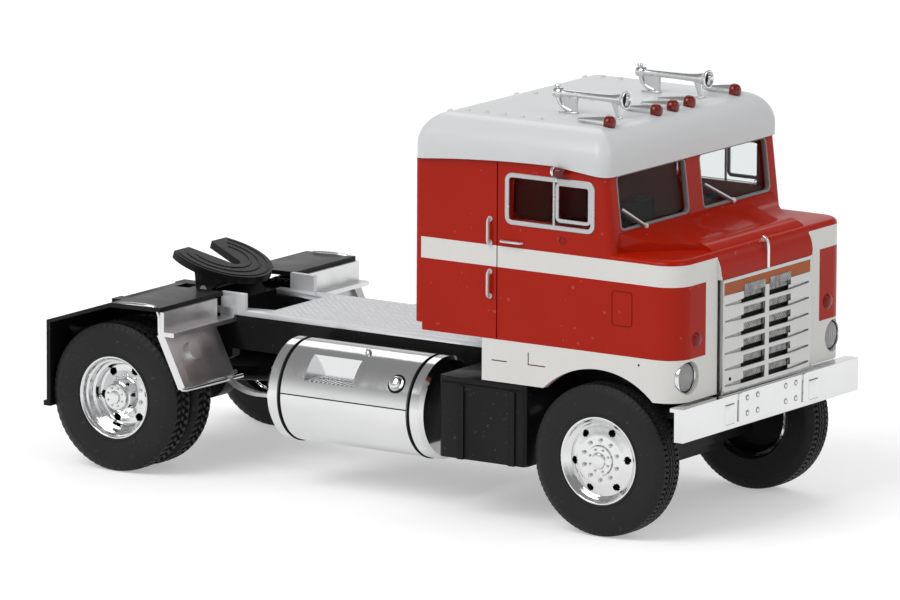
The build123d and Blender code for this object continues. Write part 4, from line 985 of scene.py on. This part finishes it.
SCREEN_RAKE = math.radians(7.0)
SCREEN_NORMAL = (math.cos(SCREEN_RAKE), 0.0, math.sin(SCREEN_RAKE))


def screen_point(y, z, proud=0.0):
    """A place on the raked windscreen wall, from its y and z."""
    return (at(45.05) + (27.95 - z) * math.tan(SCREEN_RAKE) + proud, y, z)


def bright_loop(x0, x1, z0, z1, width, proud, corner):
    """A flat bright frame on a door, between two places along it and two heights."""
    outline = round_section(x1 - x0 - width, z1 - z0 - width, corner, 5)
    path = [((x0 + x1) / 2 + a, FLANK + proud, (z0 + z1) / 2 + b) for a, b in outline]
    return swept(path, round_section(width, 0.16, 0.07), LEFT, closed=True)


class TRACTOR_OT_glazing(bpy.types.Operator):
    """Grey seals round the windscreen's panes, two wipers, and the side windows' bright frames"""

    bl_idname = "tractor.glazing"
    bl_label = "Seals, wipers and frames"

    def execute(self, context):
        self.make_seals()
        self.make_wipers()
        self.make_frames()
        return {"FINISHED"}

    def make_seals(self):
        """A soft grey line round the inside of each windscreen opening."""
        low, high = span("windscreen_panes")
        inner, outer, line = 0.95, 10.75, 0.14
        foot, head = low[2] - 0.03, high[2] + 0.02
        loop = round_section(outer - inner - line, head - foot - line, 0.42, 5)
        path = [screen_point((inner + outer) / 2 + a, (foot + head) / 2 + b, -0.22) for a, b in loop]
        seal = swept(path, round_section(0.22, 0.46, 0.08, 2), SCREEN_NORMAL, closed=True)
        add_piece("windscreen_seals", both_sides(seal), "seal_grey")

    def make_wipers(self):
        """Two arms that lean across the panes' lower corners, each on a pivot, with a dark blade."""
        pivot = [(0.24, -0.1), (0.24, 0.14), (0.16, 0.22), (0.0, 0.25)]
        arms, blades = [], []
        # y and z of each arm's tip and foot
        for tip, foot in (((-10.5, 25.35), (-7.35, 23.6)), ((1.25, 25.6), (5.2, 23.72))):
            slope = (np.array(foot) - np.array(tip)) / 5.0
            line = [screen_point(*(tip + slope * step), 0.16) for step in range(6)]
            arms.append(swept(line, round_section(0.17, 0.12, 0.05, 2), SCREEN_NORMAL, ease=0.05))
            arms.append(turned(pivot, screen_point(*foot), SCREEN_NORMAL, 14))
            lower = np.array([0.0, 0.16])
            edge = [screen_point(*(tip + slope * step - lower), 0.07) for step in np.linspace(-0.3, 4.2, 6)]
            blades.append(swept(edge, round_section(0.12, 0.16, 0.05, 2), SCREEN_NORMAL, ease=0.08))
        add_piece("wiper_arms", arms, "printed_silver", "wipers")
        add_piece("wiper_blades", blades, "dark_wash")

    def make_frames(self):
        """A bright loop round each side window, a divider, and a second loop round the front pane."""
        low, high = span("side_window_frames")
        divider = at(40.65)
        post = upright_line(divider - 0.22, FLANK + 0.02, low[2] + 0.2, high[2] - 0.2, 4)
        frames = both_sides(
            bright_loop(low[0], high[0], low[2], high[2], 0.38, 0.03, 0.45),
            bright_loop(divider - 0.08, high[0] - 0.30, low[2] + 0.62, high[2] - 0.30, 0.30, 0.02, 0.28),
            swept(post, round_section(0.2, 0.16, 0.06), LEFT),
        )
        add_piece("window_loops", frames, "frame_silver", "side_window_frames")


# Roof: rivets, lamps, horns

class TRACTOR_OT_rivets(bpy.types.Operator):
    """Three rows of rivets along the roof"""

    bl_idname = "tractor.rivets"
    bl_label = "Rivets"

    def execute(self, context):
        pitch = context.scene.tractor_trim.rivet_pitch / MM
        turn = np.linspace(0.0, TAU / 4, 4)[:-1]
        dome = [(0.24, -0.08), *[(0.24 * math.cos(t), 0.17 * math.sin(t)) for t in turn], (0.0, 0.17)]
        # distance from the centre plane, first and last station, and share of the pitch
        rows = ((-9.5, 29.05, 37.5, 0.95), (0.0, 28.9, 37.5, 1.0), (9.5, 29.05, 33.0, 0.95))
        rivets = []
        for y, first, last, share in rows:
            for station in np.arange(first, last, share * pitch):
                start = Vector((at(station), y, 40.0)) * MM
                found, spot, normal, _ = NODES["cab_roof"].ray_cast(start, Vector((0.0, 0.0, -1.0)))
                if not found:
                    raise RuntimeError(f"no roof under the rivet at {station:.1f}, {y:.1f}")
                rivets.append(turned(dome, np.array(spot) / MM, np.array(normal), 12))
        add_piece("roof_rivets", rivets, "white_paint")
        return {"FINISHED"}


class TRACTOR_OT_roof_lamps(bpy.types.Operator):
    """Five marker lamps on the roof's front edge: bright housings with red domes"""

    bl_idname = "tractor.roof_lamps"
    bl_label = "Roof lamps"

    def execute(self, context):
        low, high = span("roof_lamp_housings")
        front, height = span("roof_lamp_lenses")[0][0], middle("roof_lamp_lenses")[2]
        inner, outer = 2.37, (high[1] - low[1]) / 2 - 0.46
        shell = [(0.0, -2.9), (0.05, -2.86), (0.15, -2.7), (0.48, -0.35), (0.53, -0.15), (0.54, -0.04),
                 (0.50, 0.0)]
        lens = [(0.54, -0.12), (0.57, -0.06), (0.57, 0.1), (0.54, 0.26), (0.47, 0.4), (0.34, 0.5),
                (0.18, 0.56), (0.0, 0.58)]
        spots = [(front, y, height) for y in (-outer, -inner, 0.0, inner, outer)]
        shells, domes = ([turned(form, spot, steps=24) for spot in spots] for form in (shell, lens))
        add_piece("roof_lamp_shells", shells, "bright_plating", "roof_lamp_housings")
        add_piece("roof_lamp_domes", domes, "lamp_red", "roof_lamp_lenses")
        return {"FINISHED"}


class TRACTOR_OT_horns(bpy.types.Operator):
    """Two air horns: trumpet with a ringed bell, driver with a knob, and two legs each"""

    bl_idname = "tractor.horns"
    bl_label = "Air horns"

    def execute(self, context):
        low, high = span("air_horns")
        y, rise = 5.87, 1.5    # distance from the centre plane, and height over the roof
        roof = span("cab_roof")[1][2]
        height = roof + rise
        bell, tail = high[0], low[0] + 0.35
        length = bell - tail
        trumpet = [
            (0.0, -0.45), (0.22, -0.42), (0.36, -0.30), (0.42, -0.05), (0.42, 0.30), (0.36, 0.42),
            (0.28, 0.50), (0.26, 1.2), (0.27, 2.6), (0.29, 3.9), (0.32, 4.7),
        ]
        # the bell, by distance back from its mouth
        trumpet += [(radius, length - back) for radius, back in (
            (0.38, 0.9), (0.50, 0.45), (0.62, 0.25), (0.70, 0.2), (0.74, 0.1), (0.74, 0.04), (0.69, 0.0),
            (0.60, 0.02), (0.54, 0.12), (0.48, 0.3), (0.40, 0.5), (0.0, 0.7),
        )]
        # a dark disc deep in each bell, painted shade of the horn's bore
        throat_shade = [(0.0, length - 0.5), (0.40, length - 0.48), (0.45, length - 0.38), (0.3, length - 0.36),
                  (0.0, length - 0.35)]
        knob = [(0.18, -0.1), (0.16, 0.04), (0.22, 0.10), (0.24, 0.2), (0.17, 0.32), (0.0, 0.35)]
        # rear leg: a wide bracket that curves down and forward to its foot, and a web
        leg = tail + 1.3
        bend = arc((tail + 1.25, y, height - 0.05), 1.25, 180.0, 262.0, 9, (AHEAD, UP))
        bracket = np.vstack([bend, [(leg, y, roof + 0.1)]])
        heights = np.linspace(roof, height - 0.1, 5)
        web = [(leg - 0.2 * (z - roof), y, z) for z in heights]
        foot = [(tail + x, y, roof + 0.06) for x in (0.2, 0.7, 1.3, 1.8)]
        # front leg: a slim post under the bell, on a small foot plate
        post = [(bell - 0.85 - 0.1 * (z - roof), y, z) for z in heights]
        plate = [(bell - 0.95 + x, y, roof + 0.05) for x in (-0.45, -0.2, 0.2, 0.45)]
        horn = both_sides(
            turned(trumpet, (tail, y, height), steps=28),
            turned(knob, (tail - 0.05, y, height + 0.34), UP, 14),
            swept(bracket, round_section(0.34, 0.42, 0.12), LEFT, ease=0.06),
            swept(web, round_section(0.32, 1.7, 0.12), AHEAD, scale=[0.62, 0.68, 0.78, 0.9, 1.0]),
            swept(foot, round_section(0.7, 0.12, 0.05), UP, ease=0.08),
            swept(post, round_section(0.28, 0.5, 0.1), AHEAD, scale=[0.6, 0.7, 1.0, 1.4, 1.7]),
            swept(plate, round_section(0.7, 0.1, 0.04), UP, ease=0.06),
        )
        add_piece("horn_trumpets", horn, "bright_plating", "air_horns")
        add_piece("horn_throat_shades", both_sides(turned(throat_shade, (tail, y, height), steps=20)), "dark_line")
        return {"FINISHED"}


# Lamps of the front and the sides

class TRACTOR_OT_headlamps(bpy.types.Operator):
    """Headlamps: fluted lenses in thin dark rings of painted shade

    A lens is a low dome, 1 - (radius / edge) squared, with upright flutes, a cosine of y.
    """

    bl_idname = "tractor.headlamps"
    bl_label = "Headlamps"

    def execute(self, context):
        low, high = span("headlamp_rims")
        z = (low[2] + high[2]) / 2
        pocket = z - low[2]
        front, y = high[0], (high[1] - low[1]) / 2 - pocket
        rim = [(1.14, -0.3), (pocket, -0.3), (pocket, -0.02), (pocket - 0.03, 0.03), (1.19, 0.03),
               (1.15, -0.02)]
        # painted shade: a dark ring in the pocket between the lens and the rim
        line = [(1.05, -0.3), (1.16, -0.3), (1.16, -0.07), (1.05, -0.07)]
        spot = (front, y, z)
        rims, lines = (both_sides(turned(form, spot, steps=48, ring=True)) for form in (rim, line))
        add_piece("headlamp_rings", rims, "bright_plating", "headlamp_rims")
        add_piece("headlamp_shade_rings", lines, "dark_line")
        edge, bulge, flute, flute_pitch = 1.08, 0.16, 0.02, 0.3
        radius = np.linspace(0.06, edge, 15)[:, None]
        turn = (np.arange(64) * TAU / 64)[None, :]
        across, up = radius * np.cos(turn), radius * np.sin(turn)
        dome = bulge * (1.0 - (radius / edge) ** 2)
        flutes = flute * np.cos(across * TAU / flute_pitch) * (radius < 0.95)
        points = np.stack([front - 0.1 + dome + flutes, y + across, z + up], axis=-1)
        back = points[-1:] - np.array([0.25, 0.0, 0.0])
        lens = grid_surface(np.vstack([points, back]), start=(front + 0.06, y, z), end=(front - 0.35, y, z))
        add_piece("headlamp_lenses", both_sides(lens), "lamp_clear", "headlamps")
        return {"FINISHED"}


class TRACTOR_OT_small_lamps(bpy.types.Operator):
    """Domed signal lamps under the stripe, and a side lamp in a clip over each door"""

    bl_idname = "tractor.small_lamps"
    bl_label = "Signal and side lamps"

    def execute(self, context):
        spot = (span("signal_lamps")[0][0], 9.45, middle("signal_lamps")[2])
        dome = [(0.60, -0.05), (0.60, 0.03), (0.54, 0.06), (0.52, 0.08), (0.48, 0.15), (0.38, 0.21),
                (0.2, 0.24), (0.0, 0.25)]
        add_piece("signal_domes", both_sides(turned(dome, spot, steps=28)), "signal_red", "signal_lamps")
        low, high = span("side_lamps")
        x, _, z = middle("side_lamps")
        y, z = high[1] - 0.37, z - 0.1
        half = (high[0] - low[0]) / 2
        glass = [(0.36, -half + 0.2), (0.38, -half + 0.4), (0.38, half - 0.42), (0.33, half - 0.2),
                 (0.22, half - 0.06), (0.0, half)]
        cap = [(0.0, -half), (0.22, -half + 0.02), (0.36, -half + 0.12), (0.41, -half + 0.26),
               (0.41, -half + 0.34), (0.36, -half + 0.38)]
        glasses, caps = (turned(form, (x, y, z), steps=24) for form in (glass, cap))
        add_piece("side_lamp_glasses", both_sides(glasses), "side_lamp_red", "side_lamps")
        foot = span("side_lamp_clips")[0][2] - 0.25
        path = [(x - 0.42, FLANK + 0.06, foot), (x - 0.42, FLANK + 0.14, foot + 0.3), (x - 0.40, y, z - 0.2)]
        strap = swept(path, round_section(0.36, 0.16, 0.06), AHEAD, ease=0.04)
        add_piece("side_lamp_straps", both_sides(caps, strap), "bright_plating", "side_lamp_clips")
        return {"FINISHED"}


# Flanks: handles and grab rails

class TRACTOR_OT_handles(bpy.types.Operator):
    """Door handles and upright grab rails on both flanks"""

    bl_idname = "tractor.handles"
    bl_label = "Handles and rails"

    def execute(self, context):
        low, high = span("door_handles")
        z = (low[2] + high[2]) / 2
        tail, head = low[0], high[0]
        # place along the door, and distance from it
        course = ((tail + 0.05, -0.02), (tail + 0.08, 0.14), (tail + 0.25, 0.22), (head - 0.3, 0.22),
                  (head - 0.05, 0.16), (head, -0.02))
        path = [(x, FLANK + out, z) for x, out in course]
        grip = swept(path, round_section(0.42, 0.16, 0.07), UP, ease=0.05)
        add_piece("door_grips", both_sides(grip), "printed_silver", "door_handles")
        x, out, bend, end = middle("grab_rails")[0], FLANK + 0.33, 0.22, 0.13
        washer = [(0.22, -0.02), (0.22, 0.06), (0.0, 0.09)]
        rails = []
        for foot, head in ((21.75, 23.85), (17.6, 19.75)):
            path = np.vstack([
                [(x, FLANK - 0.02, foot + end)],
                arc((x, out - bend, foot + 0.35), bend, -90.0, 0.0, 5),
                arc((x, out - bend, head - 0.35), bend, 0.0, 90.0, 5),
                [(x, FLANK - 0.02, head - end)],
            ])
            rails.append(swept(path, round_section(0.36, 0.2), AHEAD))
            rails += [turned(washer, (x, FLANK, z), LEFT, 16) for z in (foot + end, head - end)]
        add_piece("grab_rail_bars", both_sides(*rails), "printed_silver", "grab_rails")
        # sunk mounting point under the window's divider, and a screw at the sill's front
        cup = [(0.34, -0.06), (0.34, 0.02), (0.29, 0.05), (0.2, 0.05), (0.17, -0.02), (0.0, -0.03)]
        dot = [(0.09, -0.05), (0.09, 0.012), (0.0, 0.02)]
        point = (at(41.17), FLANK, 22.7)
        add_piece("door_cups", both_sides(turned(cup, point, LEFT, 20)), "signal_red", slot="red_paint")
        spots = ((point[0], FLANK - 0.02, point[2]), (at(48.19), FLANK, 13.85))
        add_piece("flank_dots", both_sides(*(turned(dot, spot, LEFT, 12) for spot in spots)), "dark_line")
        return {"FINISHED"}


# Deck, tanks, fenders and coupling

class TRACTOR_OT_deck(bpy.types.Operator):
    """Raised lozenges on the deck between the cab and the coupling

    The deck is cut into turned cells. Each has one long bump, the root of 1 - (long / half length)
    squared - (short / half width) squared, that changes direction from cell to cell.
    """

    bl_idname = "tractor.deck"
    bl_label = "Deck plate"

    def execute(self, context):
        pitch = context.scene.tractor_trim.tread_plate_pitch / MM
        top = span("deck_plate")[0][2] + 0.4
        start, end, half = at(8.5), at(29.4), 4.85
        # a bump's half length and half width as shares of its cell, its height, and the plain margin
        half_length, half_width, rise, margin = 0.44, 0.17, 0.055, 0.15
        x = np.linspace(start, end, 300)
        y = np.linspace(-half, half, 150)
        gx, gy = np.meshgrid(x, y, indexing="ij")
        u, v = (gx + gy) / pitch, (gx - gy) / pitch
        turned_cell = np.mod(np.floor(u) + np.floor(v), 2.0)
        fu, fv = np.mod(u, 1.0) - 0.5, np.mod(v, 1.0) - 0.5
        long_way = np.where(turned_cell > 0, fu, fv) / half_length
        short_way = np.where(turned_cell > 0, fv, fu) / half_width
        bumps = np.clip(1.0 - long_way ** 2 - short_way ** 2, 0.0, 1.0) ** 0.5
        edge = np.minimum(np.minimum(gx - start, end - gx), half - np.abs(gy))
        heights = top + 0.01 + rise * bumps * (edge > margin)
        add_piece("deck_lozenges", [slab(x, y, heights, top - 0.05)], "deck_silver", sharp=60)
        return {"FINISHED"}


class TRACTOR_OT_tanks(bpy.types.Operator):
    """Tank fittings: dark strap lines, filler caps with their necks, a vent and a step tread"""

    bl_idname = "tractor.tanks"
    bl_label = "Tank fittings"

    def execute(self, context):
        low, high = span("fuel_tank_left")
        radius = (high[2] - low[2]) / 2
        y, z = high[1] - radius, (low[2] + high[2]) / 2
        band, strap, sunk = 1.1, 0.35, 0.05

        def fitting(profile, station, tilt, steps):
            """A profile turned round a spoke of the tank, at a tilt in degrees over the level."""
            out = (0.0, math.cos(math.radians(tilt)), math.sin(math.radians(tilt)))
            foot = (at(station), y + (radius - sunk) * out[1], z + (radius - sunk) * out[2])
            return turned(profile, foot, out, steps)

        lines = [
            swept(arc((x, y, z), radius - 0.06, -137.0, 137.0, 72), round_section(0.27, 0.1, 0.03, 2), AHEAD)
            for x in (low[0] + band + strap / 2, high[0] - band - strap / 2)
        ]
        # seam along the outer side, filled dark
        rise = 0.28
        out = y + math.sqrt(radius ** 2 - rise ** 2) - 0.07
        seam = [(x, out, z + rise) for x in np.linspace(low[0] + band + strap, high[0] - band - strap, 12)]
        lines.append(swept(seam, round_section(0.09, 0.12, 0.03, 2), UP))
        cap = [(0.62, 0.0), (0.62, 0.12), (0.50, 0.16), (0.50, 0.42), (0.46, 0.50), (0.34, 0.56), (0.0, 0.6)]
        neck = [(0.78, -0.1), (0.78, 0.06), (0.70, 0.1)]
        vent = [(0.26, -0.05), (0.26, 0.16), (0.20, 0.2), (0.18, 0.34), (0.1, 0.38)]
        caps = both_sides(fitting(cap, 25.6, 32, 32), fitting(vent, 21.6, 70, 12))
        # ribs on the step cut into the shoulder
        ribs = [
            swept([(x, across, 9.03) for across in np.linspace(y + 2.45, y + 3.55, 3)],
                  round_section(0.14, 0.1, 0.04, 2), UP)
            for x in np.linspace(low[0] + 3.9, low[0] + 7.6, 10)
        ]
        add_piece("tank_strap_lines", both_sides(*lines), "dark_line")
        add_piece("tank_caps", caps, "bright_plating", "fuel_caps")
        add_piece("tank_cap_seats", both_sides(fitting(neck, 25.6, 32, 32)), "dark_line")
        add_piece("tank_step_ribs", both_sides(*ribs), "bright_plating")
        return {"FINISHED"}


class TRACTOR_OT_fender_rods(bpy.types.Operator):
    """Bright rounded edges round the quarter fenders, from the mudguard's top to the inner foot"""

    bl_idname = "tractor.fender_rods"
    bl_label = "Fender edges"

    def execute(self, context):
        y = span("quarter_fender_left")[1][1] - 0.17
        # station and height along the outer edge, then the turn inwards to the foot
        edge = ((0.6, 13.5), (1.6, 13.6), (2.8, 13.64), (3.8, 13.6), (4.25, 13.35), (4.42, 12.9),
                (4.44, 11.7), (4.5, 11.2), (4.9, 10.4), (6.2, 7.75), (6.42, 7.45), (6.6, 7.34))
        path = [(at(station), y, z) for station, z in edge]
        path += [(at(6.7), y - 0.3, 7.3), (at(6.72), y - 1.2, 7.28), (at(6.72), 5.4, 7.2)]
        rod = swept(path, round_section(0.34, 0.34), (0.25, 0.55, 0.8))
        add_piece("fender_edges", both_sides(rod), "bright_plating")
        return {"FINISHED"}


class TRACTOR_OT_coupling_ridges(bpy.types.Operator):
    """Three shallow ridges that follow the coupling plate's round front"""

    bl_idname = "tractor.coupling_ridges"
    bl_label = "Coupling ridges"

    def execute(self, context):
        tilt = math.radians(17.5)
        along = (math.cos(tilt), 0.0, -math.sin(tilt))
        normal = (math.sin(tilt), 0.0, math.cos(tilt))
        shift, plate_top = 0.97, 15.73
        centre = (at(shift), 0.0, plate_top - shift * math.tan(tilt))
        ridges = [
            swept(arc(centre, radius, -reach, reach, 72, (along, LEFT)), round_section(0.22, 0.12, 0.05, 2),
                  normal, ease=0.1)
            for radius, reach in ((3.85, 119.0), (3.1, 119.0), (2.35, 114.0))
        ]
        add_piece("coupling_ridges", ridges, "chassis_black", body="coupling")
        return {"FINISHED"}


class TRACTOR_PT_panel(bpy.types.Panel):
    """Lists the steps that finish the tractor unit"""

    bl_label = "Tractor unit"
    bl_space_type = "VIEW_3D"
    bl_region_type = "UI"
    bl_category = "Tractor"

    def draw(self, context):
        for step in STEPS:
            self.layout.operator(step.bl_idname)


STEPS = (
    TRACTOR_OT_stage, TRACTOR_OT_mouldings, TRACTOR_OT_tyres, TRACTOR_OT_rims, TRACTOR_OT_grille,
    TRACTOR_OT_nose_rib, TRACTOR_OT_bumper, TRACTOR_OT_glazing, TRACTOR_OT_rivets,
    TRACTOR_OT_roof_lamps, TRACTOR_OT_horns, TRACTOR_OT_headlamps, TRACTOR_OT_small_lamps,
    TRACTOR_OT_handles, TRACTOR_OT_deck, TRACTOR_OT_tanks, TRACTOR_OT_fender_rods,
    TRACTOR_OT_coupling_ridges,
)
GROUPS = (("tractor_paint", TractorPaint), ("tractor_trim", TractorTrim), ("tractor_stage", TractorStage))
CLASSES = (*[group for _, group in GROUPS], *STEPS, TRACTOR_PT_panel)


def register():
    for item in CLASSES:
        bpy.utils.register_class(item)
    for name, group in GROUPS:
        setattr(bpy.types.Scene, name, PointerProperty(type=group))


def unregister():
    for name, _ in GROUPS:
        delattr(bpy.types.Scene, name)
    for item in reversed(CLASSES):
        bpy.utils.unregister_class(item)


def main():
    register()
    for step in STEPS:
        group, name = step.bl_idname.split(".")
        if getattr(getattr(bpy.ops, group), name)() != {"FINISHED"}:
            raise RuntimeError(f"{step.bl_label} didn't finish")


if __name__ == "__main__":
    main()
